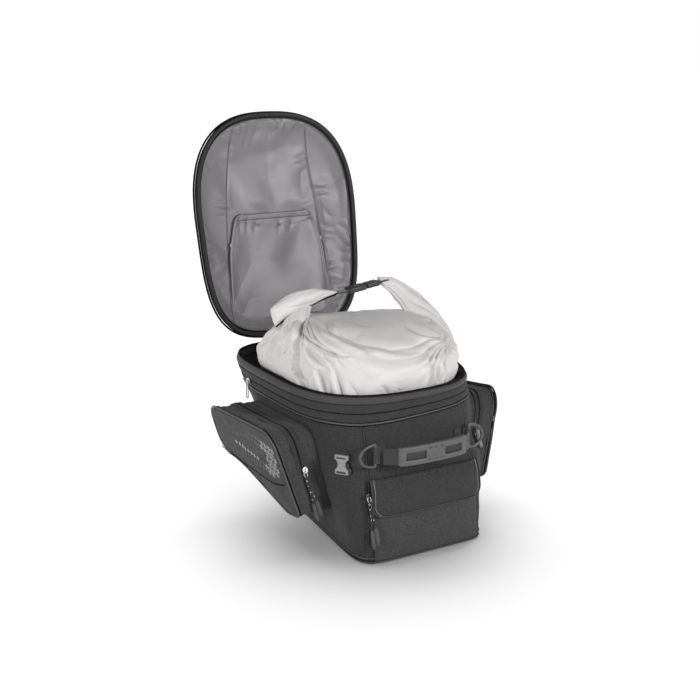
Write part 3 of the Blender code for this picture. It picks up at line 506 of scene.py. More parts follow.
def grid_faces(rows, cols, wrap_u, wrap_v):
    r = np.arange(rows if wrap_v else rows - 1)[:, None]
    c = np.arange(cols if wrap_u else cols - 1)[None, :]
    a, b = r * cols + c, r * cols + (c + 1) % cols
    d, e = (r + 1) % rows * cols + c, (r + 1) % rows * cols + (c + 1) % cols
    return np.stack([a, b, e, d], -1).reshape(-1, 4)


def grid_object(name, grid, inside, wrap_u, wrap_v, caps):
    """An object from a grid of points, facing away from inside, which is one point or one for each row."""
    rows, cols = grid.shape[:2]
    verts = grid.reshape(-1, 3)
    faces = grid_faces(rows, cols, wrap_u, wrap_v)
    p = verts[faces]
    n = np.cross(p[:, 2] - p[:, 0], p[:, 3] - p[:, 1])
    flip = np.sum(n * (p.mean(1) - np.broadcast_to(inside, (rows, 3))[faces[:, 0] // cols])) < 0
    faces = [tuple(f) for f in (faces[:, ::-1] if flip else faces)]
    if caps:
        first, last = tuple(range(cols)), tuple(range((rows - 1) * cols, rows * cols))
        faces += [first if flip else first[::-1], last[::-1] if flip else last]
    return mesh_object(name, verts, faces, np.stack(lengths(grid), -1).reshape(-1, 2))


def sheet(
    name,
    grid,
    finish,
    body,
    stands_for=(),
    inside=None,
    thick=0.0,
    wrap_u=False,
    wrap_v=False,
    caps=False,
):
    """A piece from a grid of points: an open sheet made thick, or a closed tube where it wraps."""
    grid = np.asarray(grid, float)
    inside = grid.reshape(-1, 3).mean(0) if inside is None else np.asarray(inside, float)
    obj = grid_object(name, grid, inside, wrap_u, wrap_v, caps)
    if thick:
        solid = obj.modifiers.new("thick", "SOLIDIFY")
        solid.thickness = thick
        solid.offset = -1.0
    return place(obj, finish, body, stands_for)


def frames(path, up, closed):
    """(along, across, over) unit vectors at each point of a path; up is one vector or one each."""
    if closed:
        along = np.roll(path, -1, 0) - np.roll(path, 1, 0)
    else:
        along = np.gradient(path, axis=0)
    along /= np.linalg.norm(along, axis=1, keepdims=True)
    across = np.cross(along, np.broadcast_to(np.asarray(up, float), path.shape))
    across /= np.linalg.norm(across, axis=1, keepdims=True)
    return along, across, np.cross(across, along)


def sweep(name, path, section, finish, body, up=(0, 0, 1), closed=False, scales=None, stands_for=()):
    """A solid that carries a closed section of (across, over) points along a path."""
    path = np.asarray(path, float)
    _, across, over = frames(path, up, closed)
    scales = np.ones(len(path)) if scales is None else np.asarray(scales, float)
    section = np.asarray(section, float)[None] * scales[:, None, None]
    grid = path[:, None] + across[:, None] * section[..., :1] + over[:, None] * section[..., 1:]
    obj = grid_object(name, grid, path, True, closed, not closed)
    return place(obj, finish, body, stands_for)


def round_section(radius, sides=10):
    t = TAU * np.arange(sides) / sides
    return np.stack([radius * np.cos(t), radius * np.sin(t)], 1)


def strap_section(width, thick, steps=8):
    """A flat strap's section with rolled edges, width across and thick over."""
    r = thick / 2
    t = np.linspace(-math.pi / 2, math.pi / 2, steps)
    right = np.stack([width / 2 - r + r * np.cos(t), r * np.sin(t)], 1)
    across = np.linspace(width / 2 - r, -width / 2 + r, 8)[1:-1]
    top = np.stack([across, np.full(len(across), r)], 1)
    left = np.stack([-width / 2 + r - r * np.cos(t[::-1]), r * np.sin(t[::-1])], 1)
    bottom = np.stack([across[::-1], np.full(len(across), -r)], 1)
    return np.vstack([right, top, left, bottom])


def box_outline(a, b):
    """A rectangle's corners, from its two (from, to) pairs."""
    return (a[0], b[0]), (a[1], b[0]), (a[1], b[1]), (a[0], b[1])


def prism(name, outline, low, high, origin, axes, finish, body, bevel=0.0006, stands_for=()):
    """A plate: a flat outline in axes[0], axes[1], from low to high along axes[2], with eased edges."""
    ex, ey, ez = (np.asarray(a, float) for a in axes)
    origin = np.asarray(origin, float)
    points = [origin + ex * a + ey * b for a, b in outline]
    verts = [p + ez * low for p in points] + [p + ez * high for p in points]
    n = len(points)
    faces = [tuple(range(n))[::-1], tuple(range(n, 2 * n))]
    faces += [(i, (i + 1) % n, n + (i + 1) % n, n + i) for i in range(n)]
    after = [*outline[1:], outline[0]]
    area = sum(a[0] * b[1] - a[1] * b[0] for a, b in zip(outline, after, strict=True))
    if area * np.dot(np.cross(ex, ey), ez) < 0:
        faces = [f[::-1] for f in faces]
    obj = mesh_object(name, verts, faces, [(p @ ex, p @ ey) for p in verts], sharp=30)
    ease = obj.modifiers.new("ease", "BEVEL")
    ease.width = bevel
    ease.segments = 3
    ease.limit_method = "ANGLE"
    return place(obj, finish, body, stands_for)


def beads(name, path, out, pitch, size, finish, body, closed=False):
    """Small raised pieces along a path, such as stitches or zip teeth. size is (along, across, high)."""
    path = np.asarray(path, float)
    total = np.linalg.norm(np.diff(path, axis=0), axis=1).sum()
    count = max(2, int(total / pitch))
    out = np.broadcast_to(np.asarray(out, float), path.shape)
    both = evenly(np.hstack([path, out]), count, closed)
    spots, outs = both[:, :3], both[:, 3:]
    outs = outs / np.linalg.norm(outs, axis=1, keepdims=True)
    along, across, over = frames(spots, outs, closed)
    a, b, h = size[0] / 2, size[1] / 2, size[2]
    corners = ((-a, -b, 0), (a, -b, 0), (a, b, 0), (-a, b, 0))
    tops = tuple((x * 0.6, y * 0.6, h) for x, y, _ in corners)
    verts, faces = [], []
    for s, e1, e2, e3 in zip(spots, along, across, over, strict=True):
        k = len(verts)
        verts += [s + e1 * x + e2 * y + e3 * z for x, y, z in corners + tops]
        faces += [tuple(k + i for i in f[::-1]) for f in BOX_FACES]
    obj = mesh_object(name, verts, faces, [(v[0], v[2]) for v in verts], sharp=60, weld=False)
    return place(obj, finish, body)


def stitches(name, path, out, body, finish=None, pitch=0.0042, closed=False):
    return beads(name, path, out, pitch, (0.0030, 0.0007, 0.0004), finish or THREAD, body, closed)


def zip_teeth(name, path, out, body, size=(0.0012, 0.0016, 0.0012), pitch=0.0021, closed=True):
    return beads(name, path, out, pitch, size, COIL, body, closed)


def ring_teeth(name, z, tip, root, body, high=0.0012):
    """Zip teeth round the bag on its plan at height z, pointing from root to tip, each (inset, height)."""
    ring, inner = (plan_ring(z, inset, at_z=up) for inset, up in (tip, root))
    return zip_teeth(name, ring, ring - inner, body, (0.0012, 0.0016, high))


def round_line(name, path, radius, finish, body, up=(0, 0, 1), closed=True, stands_for=()):
    """A thin round strip, such as piping or a zip's folded edge."""
    section = round_section(radius, 10 if radius > 0.0015 else 8)
    return sweep(name, path, section, finish, body, up, closed, None, stands_for)


def strap(name, path, width, thick, finish, body, up, stands_for=()):
    """A flat strip, such as webbing, binding or a zip's tape."""
    return sweep(name, path, strap_section(width, thick), finish, body, up, False, None, stands_for)


# ---------------------------------------------------------------- body panels
def soft_panel(grid, inside, seed, seam=0.0014, swell=0.0012, pucker=0.0005, edges=(1, 1, 1, 1)):
    """A sewn panel's cloth: it dips at its seams, puckers beside them and swells between.

    edges says which of its bottom, top, left and right edges are seams.
    """
    across, down = lengths(grid)
    left, right = across, across[:, -1:] - across
    bottom, top = down, down[-1:] - down
    dips = np.zeros(grid.shape[:2])
    puckers = np.zeros(grid.shape[:2])
    sides = zip((bottom, top, left, right), (across, across, down, down), edges, strict=True)
    for distance, along, wanted in sides:
        if wanted:
            dips = np.minimum(dips, -seam * near(distance, 0.006) ** 2)
            wave = np.sin(along / 0.0105 * TAU + 1.5 * np.sin(along / 0.043 * TAU))
            puckers += pucker * wave * near(distance, 0.020) * eased(distance / 0.004)
    wide = swell * (0.6 * noise(grid, 0.085, seed) + 0.4 * noise(grid, 0.035, seed + 1))
    to_edge = np.minimum(np.minimum(left, right), np.minimum(bottom, top))
    return relief(grid, inside, dips + puckers + wide * eased(to_edge / 0.02))


def rear_recess(x, z):
    """How far the rear panel lies in behind the rear pocket."""
    across = eased((REAR_SEAM_X - 0.004 - np.abs(x)) / 0.020)
    return 0.008 * across * eased((FLAP_TOP - z) / 0.020) * eased((z - WALL_BOTTOM) / 0.012)


def build_body():
    rows = np.linspace(WALL_BOTTOM, WALL_TOP, 64)

    def panel(name, lines, seed):
        grid = soft_panel(np.array(lines), BODY_MIDDLE, seed)
        sheet(f"{name}_cloth", grid, FABRIC, "bag", (name,), BODY_MIDDLE, 0.003)
        return grid

    def across(half, count, y_at):
        x = np.linspace(-half, half, count)
        return [np.stack([x, y_at(x, z), np.full(count, z)], 1) for z in rows]

    panel("rear_panel", across(REAR_SEAM_X, 90, lambda x, z: rear_y(x, z) + rear_recess(x, z)), 11)
    for name, side in SIDES:
        lines = np.array([np.column_stack([side_line(z, 150), np.full(150, z)]) for z in rows])
        grid = panel(f"{name}_wall", lines * (side, 1, 1), 20 + side)
        for end, edge, column, facing in (("rear", 0, 3, -1), ("front", -1, -4, 1)):
            line = grid[::2, edge] + (0, 0.0006 * facing, 0)
            seam = f"{name}_{end}_seam"
            round_line(f"{seam}_piping", line, 0.0014, TRIM_DARK, "bag", up=(1, 0, 0), closed=False)
            stitches(f"{seam}_stitches", grid[1:-1, column], (side * 0.4, facing, 0), "bag")
    panel("front_wall", across(FRONT_SEAM_X, 44, front_y), 31)


def build_base():
    profile = ((0.012, 0.0), (0.0045, 0.0008), (0.003, 0.0025), (0.003, 0.0056), (0.020, 0.0056))
    rings = [plan_ring(0.0, inset, at_z=z) for inset, z in profile]
    centre = np.array((0, -0.03, 0.0))
    fill = [centre + (rings[0] - centre) * k for k in (0.0, 0.4, 0.8)]
    grid = np.array(fill + rings)
    sheet("base_cloth", grid, FABRIC_BAND, "bag", ("base_panel",), (0, 0, 0.004), wrap_u=True)
    ring = plan_ring(0.0, -0.0004, at_z=0.0034)
    round_line("base_edge_piping", ring, 0.0018, TRIM_DARK, "bag", stands_for=("base_piping",))
    round_line("base_upper_piping", plan_ring(0.010, -0.0010), 0.0010, TRIM, "bag")


def band(name, profile, finish, body, stands_for, ripple=0.0003, plan_z=None, count=300):
    """A band round the bag with a closed profile of (z, inset)."""
    closed = evenly(profile, 36, closed=True)
    grid = np.array([plan_ring(plan_z or z, i, count, at_z=z) for z, i in closed])
    if ripple:
        grid = grid + noise(grid, 0.028, 5)[..., None] * ripple * np.array((1, 1, 0.6))
    middle = grid.mean(0)
    obj = sheet(name, grid, finish, body, stands_for, wrap_u=True, wrap_v=True)
    mesh = obj.data
    face = mesh.polygons[0]
    column = middle[np.argmin(np.linalg.norm(middle - np.array(face.center), axis=1))]
    if (Vector(face.center) - Vector(column)).dot(face.normal) < 0:
        mesh.flip_normals()
    return obj


def pad(z0, z1, i0, i1, bulge=0.0012, steps=9):
    """A band's profile: bulged outside, flat inside."""
    t = np.linspace(0, 1, steps)
    outer = np.stack([z0 + (z1 - z0) * t, i0 - bulge * np.sin(math.pi * t) ** 0.7], 1)
    return np.vstack([outer, [[z1, i1], [z0, i1]]])


def build_collar():
    cloth = pad(0.2213, 0.2352, 0.0004, 0.004)
    band("collar_band_cloth", cloth, FABRIC_BAND, "bag", ("collar_band",))
    ring = plan_ring(0.219, -0.0002)
    round_line("collar_edge_piping", ring, 0.0019, TRIM, "bag", stands_for=("collar_piping",))
    # dark lines just above and below the collar's piping: painted shade in the grooves there
    for part, z in (("upper", 0.2212), ("lower", 0.2166)):
        round_line(f"collar_{part}_dark_line", plan_ring(z, 0.0006), 0.0012, DARK, "bag")
    ring_teeth("expansion_zip_lower_teeth", 0.2355, (0.0016, 0.2357), (0.0030, 0.2357), "bag")


def build_upper():
    """What rises with the rim: the zip's upper half, the rim's own band and the lid zip's lower tape."""
    cloth = pad(0.2372, 0.2508, 0.0004, 0.004, 0.0009)
    band("zip_band_cloth", cloth, FABRIC_BAND, "collar", ("zip_band",))
    ring_teeth("expansion_zip_upper_teeth", 0.2368, (0.0016, 0.2369), (0.0030, 0.2369), "collar")
    profile = ((0.2516, 0.0016), (0.2530, -0.0004), (0.2552, -0.0014), (0.2590, -0.0015), (0.2620, -0.0003))
    profile += ((0.2645, 0.0018), (0.2655, 0.0040), (0.2652, 0.0075), (0.2520, 0.0075))
    band("rim_band_cloth", profile, RIM, "collar", ("rim_band",), plan_z=RIM_PLAN)
    ring = plan_ring(RIM_PLAN, -0.0012, at_z=0.2570)
    out = ring - plan_ring(RIM_PLAN, 0.003, at_z=0.2570)
    stitches("rim_stitches", ring, out, "collar", TRIM_DARK, closed=True)
    tape = ((0.2659, 0.0030), (0.2670, 0.0030), (0.2670, 0.0085), (0.2659, 0.0085))
    band("rim_tape_cloth", tape, DARK, "collar", ("rim_zip_tape",), ripple=0.0, plan_z=RIM_PLAN)
    ring_teeth("rim_zip_teeth", RIM_PLAN, (0.0022, 0.2658), (0.006, 0.2640), "collar", 0.0010)


def lining_ring(z, inset, count=300):
    """A ring of the lining, which keeps clear of the rear pocket's recess."""
    ring = plan_ring(z, inset, count)
    rear = ring[:, 1].min()
    clear = eased((FLAP_TOP + 0.012 - z) / 0.020) * eased((rear * 0.35 - ring[:, 1]) / (0.3 * abs(rear)))
    ring[:, 1] += 0.008 * clear
    return ring


def build_inside():
    """The loose lining, the pleated expansion gusset, and the lid's hinge strip."""
    low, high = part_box("compartment_lining")
    floor_z, inset = low[2] + 0.0004, WALL_THICK + 0.0036
    first = lining_ring(floor_z, inset + 0.004)
    middle = np.array((0, -0.03, floor_z))
    rings = [middle + (first - middle) * k for k in (0.0, 0.3, 0.6, 0.85)] + [first]
    rings += [lining_ring(z, inset) for z in np.linspace(floor_z + 0.004, high[2], 60)]
    grid = np.array(rings)
    away = eased((grid[..., 2] - floor_z) / 0.02)
    centre = (0, -0.03, 0.1)
    grid = relief(grid, centre, -(0.0012 + 0.0012 * noise(grid, 0.05, 151)) * away, wrap_u=True)
    stands = ("compartment_lining",)
    sheet("compartment_lining_cloth", grid, INNER, "bag", stands, centre, 0.0006, wrap_u=True)
    hem = lining_ring(high[2] - 0.0012, inset + 0.0010)
    round_line("compartment_lining_hem", hem, 0.0012, DARK, "bag")

    rows = np.linspace(GUSSET_LOW, GUSSET_HIGH, 72)
    fold = 0.0007 * (1 - np.cos((rows - GUSSET_LOW) / (GUSSET_HIGH - GUSSET_LOW) * 6 * TAU))
    grid = np.array([plan_ring(z, WALL_THICK + 0.0008 + f, 300) for z, f in zip(rows, fold, strict=True)])
    stands, inside = ("expansion_gusset",), (0, 0, 0.23)
    name = "expansion_gusset_cloth"
    gusset = sheet(name, grid, GUSSET, BLENDED, stands, inside, 0.0004, wrap_u=True)
    apply_modifiers(gusset)
    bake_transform(gusset)

    low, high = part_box("lid_hinge_strip")
    x = np.linspace(low[0], high[0], 60)
    line = np.stack([x, front_y(x, RIM_PLAN) + 0.0030, np.full(60, (low[2] + high[2]) / 2)], 1)
    tall, stands = high[2] - low[2], ("lid_hinge_strip",)
    strap("lid_hinge_cloth", line, tall, 0.0012, FABRIC_BAND, "collar", (0, 1, 0), stands)
    for part, up in (("low", -0.0042), ("high", 0.0042)):
        stitches(f"lid_hinge_{part}_stitches", line + (0, 0.0006, up), (0, 1, 0), "collar")


# ---------------------------------------------------------------- lid
def lid_point(points):
    """Points of the shut lid, turned to where it stands open."""
    p = np.asarray(points, float)
    turn = np.array(LID_TURN.to_3x3())
    axis = np.array(LID_AXIS)
    return (p - axis) @ turn.T + axis


def rim_ring(inset, up, count=240):
    """The rim's plan, this high over the edge of the shut lid."""
    return plan_ring(RIM_PLAN, inset, count, at_z=LID_EDGE_Z + up)


def lid_sheet(name, grid, finish, stands_for, inside, thick, wrap_u=True):
    """A sheet of the shut lid, turned to where it stands open."""
    grid, inside = lid_point(grid), lid_point(inside)
    return sheet(name, grid, finish, "lid", stands_for, inside, thick, wrap_u=wrap_u)


def satin_strap(name, path, width, thick, finish):
    return strap(name, lid_point(path), width, thick, finish, "lid", -LID_UP)


def satin_stitches(name, path, finish, pitch, closed=False):
    return stitches(name, lid_point(path), -LID_UP, "lid", finish, pitch, closed)


def lid_grid(profile, rows, count=260, drop=0.0):
    """Rings from the lid's edge to its crown, from (share of the plan, inset, height over the edge)."""
    made = []
    for share, inset, up in smooth_line(profile, rows):
        made.append(rim_ring(inset, up - drop, count) * (share, share, 1))
    return np.array(made)


def lid_height(x, y):
    """Height over the lid's edge of its inner sheet, at a place inside the rim."""
    rim = [body_x(v, RIM_PLAN) if abs(v) < 0.1995 else 0.02 for v in np.ravel(y)]
    rim = np.reshape(rim, np.shape(y))
    share = np.clip(np.maximum(np.abs(x) / np.maximum(rim, 0.02), np.abs(y) / 0.2), 0, 1)
    return np.interp(share, (0.0, 0.34, 0.66, 0.86, 1.0), (0.041, 0.040, 0.036, 0.029, 0.018)), share


def build_lid():
    wall, crown = LID_WALL, LID_WALL + LID_CROWN
    profile = ((1.0, 0.0004, 0.0012), (1.0, 0.0004, wall * 0.5), (1.0, 0.0008, wall))
    profile += ((0.978, 0.001, wall + 0.006), (0.93, 0.0, wall + 0.0125), (0.86, 0.0, wall + 0.018))
    profile += ((0.66, 0.0, wall + 0.025), (0.34, 0.0, crown - 0.001), (0.0, 0.0, crown))
    grid = lid_grid(profile, 60)
    down = lengths(grid)[1]
    height = 0.0008 * noise(grid, 0.07, 41) * eased((down - 0.012) / 0.03)
    height -= 0.0010 * near(down - 0.0095, 0.003)
    below = (0, 0, 0.2)
    grid = relief(grid, below, height, wrap_u=True)
    lid_sheet("lid_outer_cloth", grid, LID_CLOTH, ("lid_shell",), below, 0.0022)
    for name, inset, up, radius, finish, slot, stands in (
        ("lid_edge_piping", -0.0012, wall, 0.0018, DARK, "piping", ("lid_piping",)),
        ("lid_zip_fold", 0.0002, 0.0034, 0.0012, DARK, "zip_tape", ()),
        ("lid_inner_binding", 0.0098, 0.0062, 0.0011, TRIM_DARK, "piping", ()),
    ):
        ring = lid_point(rim_ring(inset, up))
        round_line(name, ring, radius, finish, "lid", LID_UP, stands_for=stands)

    profile = ((0.992, 0.0012, 0.0018), (0.985, 0.0014, wall * 0.5), (0.975, 0.0016, wall))
    strip = lid_grid(profile + ((0.958, 0.0018, wall + 0.004),), 14)
    strip = relief(strip, (0, 0, 0.25), 0.0004 * np.sin(lengths(strip)[0] / 0.011 * TAU), wrap_u=True)
    lid_sheet("lid_wall_cloth", strip, FABRIC_BAND, (), (0, 0, 0.29), 0.0008)
    corners = ((0.0005, 0.0004), (0.0005, 0.0020), (0.0065, 0.0020), (0.0065, 0.0004))
    tape = [rim_ring(inset, up) for inset, up in corners]
    tape = lid_point(np.array(tape))
    sheet("lid_tape_cloth", tape, FABRIC_BAND, "lid", ("lid_zip_tape",), wrap_u=True, wrap_v=True)
    ring = rim_ring(0.0010, 0.0002)
    out = (ring - rim_ring(0.004, 0.0028)) @ np.array(LID_TURN.to_3x3()).T
    zip_teeth("lid_zip_teeth", lid_point(ring), out, "lid", (0.0012, 0.0016, 0.0008))

    grid = lid_satin_grid()
    lid_sheet("lid_satin", grid, SATIN, ("lid_lining",), (0, 0, 0.4), 0.0008)
    for name, side in SIDES:
        ys = np.linspace(-0.172, 0.168, 120)
        xs = side * lid_seam_x(ys)
        line = on_cloth(grid, np.stack([xs, ys, ys], 1)) - (0, 0, 0.0003)
        # a dark strip beside each seam: painted shade of the seam's fold
        satin_strap(f"{name}_lid_seam_fold_painted_shade", line + (side * 0.0016, 0, 0), 0.0008, 0.0012, SATIN_PAINTED_SHADE)
        satin_stitches(f"{name}_lid_seam_stitches", line, SATIN, 0.0034)
    ring = on_cloth(grid, grid[4]) - (0, 0, 0.0003)
    satin_stitches("lid_satin_edge_stitches", ring, SATIN_LIGHT, 0.0046, closed=True)
    build_lid_pocket()


def lid_satin_grid():
    """The lining sheet under the shut lid: broad folds, puckered at its edge and beside its seams."""
    wall, crown = LID_WALL, LID_WALL + LID_CROWN
    profile = ((0.952, 0.0, wall + 0.0060), (0.90, 0.0, wall + 0.0102), (0.813, 0.0, wall + 0.0175))
    profile += ((0.624, 0.0, wall + 0.025), (0.321, 0.0, crown - 0.001), (0.0, 0.0, crown))
    grid = lid_grid(profile, 120, 440, SATIN_DROP)
    x, y = grid[..., 0], grid[..., 1]
    to_seam = np.abs(np.abs(x) - lid_seam_x(y))
    down = lengths(grid)[1]
    turn = np.arctan2(y, x)
    wobble = noise(grid, 0.08, 52)
    beside_edge = near(down, 0.036) * eased(0.7 + noise(grid, 0.09, 57))
    height = -0.0036 * pleats(turn * 21 + 2.4 * wobble) * beside_edge
    lines = pleats(y / 0.024 * math.pi + 2.2 * noise(grid, 0.06, 53))
    height -= 0.0030 * lines * near(to_seam - 0.002, 0.034) * eased(0.5 + noise(grid, 0.09, 58))
    height -= 0.0032 * pleats(x / 0.021 * math.pi + 1.6 * noise(grid, 0.06, 60)) * near(y + 0.178, 0.046)
    broad = grid * (1.0, 0.75, 1) + 0.03 * noise(grid, 0.16, 59)[..., None]
    height += 0.0036 * noise(broad, 0.120, 54) + 0.0021 * noise(grid * (1, 0.6, 1), 0.065, 55)
    behind_pocket = eased((y + 0.045) / 0.03) * eased((0.106 - np.abs(x)) / 0.012)
    height = height * (1 - 0.7 * behind_pocket) + 0.0012 * behind_pocket
    height = 0.0020 - np.logaddexp(0, (0.0020 - height) / 0.0008) * 0.0008
    height += 0.0014 * near(to_seam, 0.0030)
    return relief(grid, (0, 0, 0.2), np.minimum(height, 0.0022) * eased(down / 0.005), wrap_u=True)


def cloth_at(flat, known, wanted, spot):
    """One coordinate of a cloth's points, where two known coordinates are those of a spot."""
    gap = ((flat[:, known] - spot) ** 2).sum(1)
    nearest = np.argpartition(gap, 4)[:4]
    share = 1 / (gap[nearest] + 1e-9)
    return np.sum(flat[nearest, wanted] * share) / share.sum()


def on_cloth(grid, points):
    """The same places, moved to the height of a cloth grid under the shut lid."""
    flat = grid.reshape(-1, 3)
    return np.array([(x, y, cloth_at(flat, [0, 1], 2, (x, y))) for x, y, _ in points])


def lid_seam_x(y):
    """Half the width between the lining's two long seams, at a place along the lid."""
    return np.interp(y, (-0.17, -0.05, 0.16), (0.074, 0.089, 0.106))


def build_lid_pocket():
    """A patch pocket on the lining: its top edge is hemmed and its sides run out to the lining's seams."""
    rows, cols = 90, 110
    top = -0.022
    ys = np.linspace(0.168, top, rows)
    grid = []
    for y in ys:
        corner = 0.014 * (1 - math.sqrt(max(0.0, 1 - max(0.0, 1 - (y - top) / 0.014) ** 2)))
        half = float(np.interp(y, (top, 0.030, 0.050, 0.168), (0.078, 0.0925, 0.0965, 0.104))) - corner
        xs = np.linspace(-half, half, cols)
        zs = LID_EDGE_Z + lid_height(xs, np.full(cols, y))[0] - SATIN_DROP - 0.0036
        grid.append(np.stack([xs, np.full(cols, y), zs], 1))
    grid = np.array(grid)
    across, down = lengths(grid)
    from_top = down[-1:] - down
    to_edge = np.minimum(np.minimum(across, across[:, -1:] - across), from_top)
    broad = grid * (1.0, 0.6, 1)
    height = 0.0022 * noise(broad, 0.13, 61) + 0.0009 * noise(grid * (1, 0.6, 1), 0.055, 62)
    height *= eased(to_edge / 0.02)
    hem = from_top - 0.0235
    height += 0.0010 * near(hem, 0.0022)
    drawn = pleats(across / 0.030 * math.pi + 1.8 * noise(grid, 0.07, 64)) * near(hem, 0.022)
    height += 0.0013 * drawn * eased(np.abs(hem) / 0.002)
    height -= 0.0012 * near(from_top - 0.0012, 0.0016)
    grid = grid - height[..., None] * (0, 0, 1)
    underneath = (0, 0, 0.6)
    name, stands = "lid_pocket_satin", ("lid_pocket",)
    lid_sheet(name, grid, SATIN_POCKET, stands, underneath, 0.0009, wrap_u=False)
    band_rows = [i for i in range(rows) if from_top[i, 0] < 0.0228]
    hem_grid = grid[band_rows][:, 3:-3] - (0, 0, 0.0009)
    name = "lid_pocket_hem_band"
    lid_sheet(name, hem_grid, SATIN_HEM, (), underneath, 0.0008, wrap_u=False)
    edge = np.vstack([grid[:, 1], grid[-2, 1:-1], grid[::-1, -2]]) - (0, 0, 0.0004)
    edge = smooth_line(evenly(edge, 90), 300)
    satin_strap("lid_pocket_edge", edge, 0.0026, 0.0014, SATIN)
    shade = edge * (1.014, 1, 1) + (0, -0.0012, 0.0012)
    satin_strap("lid_pocket_edge_shadow", shade, 0.0022, 0.0010, SATIN_PAINTED_SHADE)
    line = grid[min(band_rows) - 1, 3:-3] - (0, 0, 0.0010)
    satin_stitches("lid_pocket_hem_stitches", line, SATIN_LIGHT, 0.0038)
    inner = np.vstack([grid[20:-3, 4], grid[-5, 5:-5], grid[-4:19:-1, -5]]) - (0, 0, 0.0012)
    satin_stitches("lid_pocket_edge_stitches", smooth_line(evenly(inner, 80), 260), SATIN, 0.0038)
    for name, side in SIDES:
        x, y = side * 0.0930, 0.031
        z = LID_EDGE_Z + float(lid_height(x, y)[0]) - SATIN_DROP - 0.0048
        line = [(x, y + d, z) for d in (-0.003, -0.001, 0.001, 0.003)]
        satin_strap(f"{name}_lid_pocket_bartack", line, 0.0030, 0.0010, SATIN_LIGHT)


# ---------------------------------------------------------------- side pockets
def pocket_face(z):
    """How far out a side pocket's face is at height z."""
    return 0.180 + 0.307 * (z - 0.069)


def on_face(grid, side, places, over):
    """Points (y, z) of a pocket's face, lifted to just over its cloth."""
    flat = grid[-34:].reshape(-1, 3)
    return np.array([(cloth_at(flat, [1, 2], 0, (y, z)) + side * over, y, z) for y, z in places])


def build_pocket_face(name, side, grid, cover):
    """The face's low curved seam and its print: a lattice of triangles that thins out forwards."""
    out = np.array((side, 0, -0.3))
    seam = ((0.094, 0.1225), (0.060, 0.1150), (0.000, 0.1130), (-0.060, 0.1120), (-0.095, 0.1130))
    seam = smooth_line(seam + ((-0.1225, 0.1190),), 90)
    line = on_face(grid, side, seam, 0.0003)
    strap(f"{name}_face_seam", line, 0.0022, 0.0010, DARK, cover, out)
    line = on_face(grid, side, seam + (0, 0.0030), 0.0002)
    stitches(f"{name}_face_seam_stitches", line, out, cover)
    step, rise = 0.0098, 0.0085
    marks = {"bright": [], "dim": []}
    for column in range(14):
        y = -0.116 + column * step
        strong = column < 4
        wide = (0.0009 if strong else 0.0008) * (1 - 0.035 * column)
        for row in range(7):
            z = 0.125 + row * rise + 0.010 * math.sin(column * 0.22)
            edge = abs(row - 3)
            if (edge < 2 and 2 < column) or (edge == 3 and column > 8) or (row == 0 and column < 2):
                continue
            shift = step / 2 if row % 2 else 0.0
            size = 0.0050 * (1.0 if strong else 0.85 - 0.03 * column)
            for turn in (0, 60, 120):
                if turn == 0 and column > 5:
                    continue
                a = math.radians(turn + 8)
                d = np.array((math.cos(a), math.sin(a))) * size
                spot = np.array((y + shift, z))
                ends = on_face(grid, side, (spot - d, spot + d), 0.0003)
                marks["bright" if strong else "dim"].append((*ends, wide))
    for k in range(8):
        y = -0.060 + k * 0.0105
        ends = ((y, 0.1455 + 0.0010 * k), (y + 0.0030, 0.1500 + 0.0010 * k))
        marks["bright"].append((*on_face(grid, side, ends, 0.0003), 0.0036))
    for part, finish in (("bright", PRINT), ("dim", PRINT_DIM)):
        strips(f"{name}_print_{part}", marks[part], out, finish, cover)


def strips(name, bars, out, finish, body, high=0.0003):
    """Thin flat bars, each from a to b and this wide, in one piece."""
    verts, faces = [], []
    out = np.asarray(out, float) / np.linalg.norm(out)
    for a, b, wide in bars:
        across = np.cross(b - a, out)
        across *= wide / 2 / np.linalg.norm(across)
        k = len(verts)
        low = [a - across, b - across, b + across, a + across]
        verts += [p - out * 0.0004 for p in low] + [p + out * high for p in low]
        faces += [tuple(k + i for i in f) for f in BOX_FACES]
    normal = np.cross(verts[1] - verts[0], verts[3] - verts[0])
    if normal @ out < 0:
        faces = [f[::-1] for f in faces]
    obj = mesh_object(name, verts, faces, [(v[1], v[2]) for v in verts], sharp=60, weld=False)
    return place(obj, finish, body)


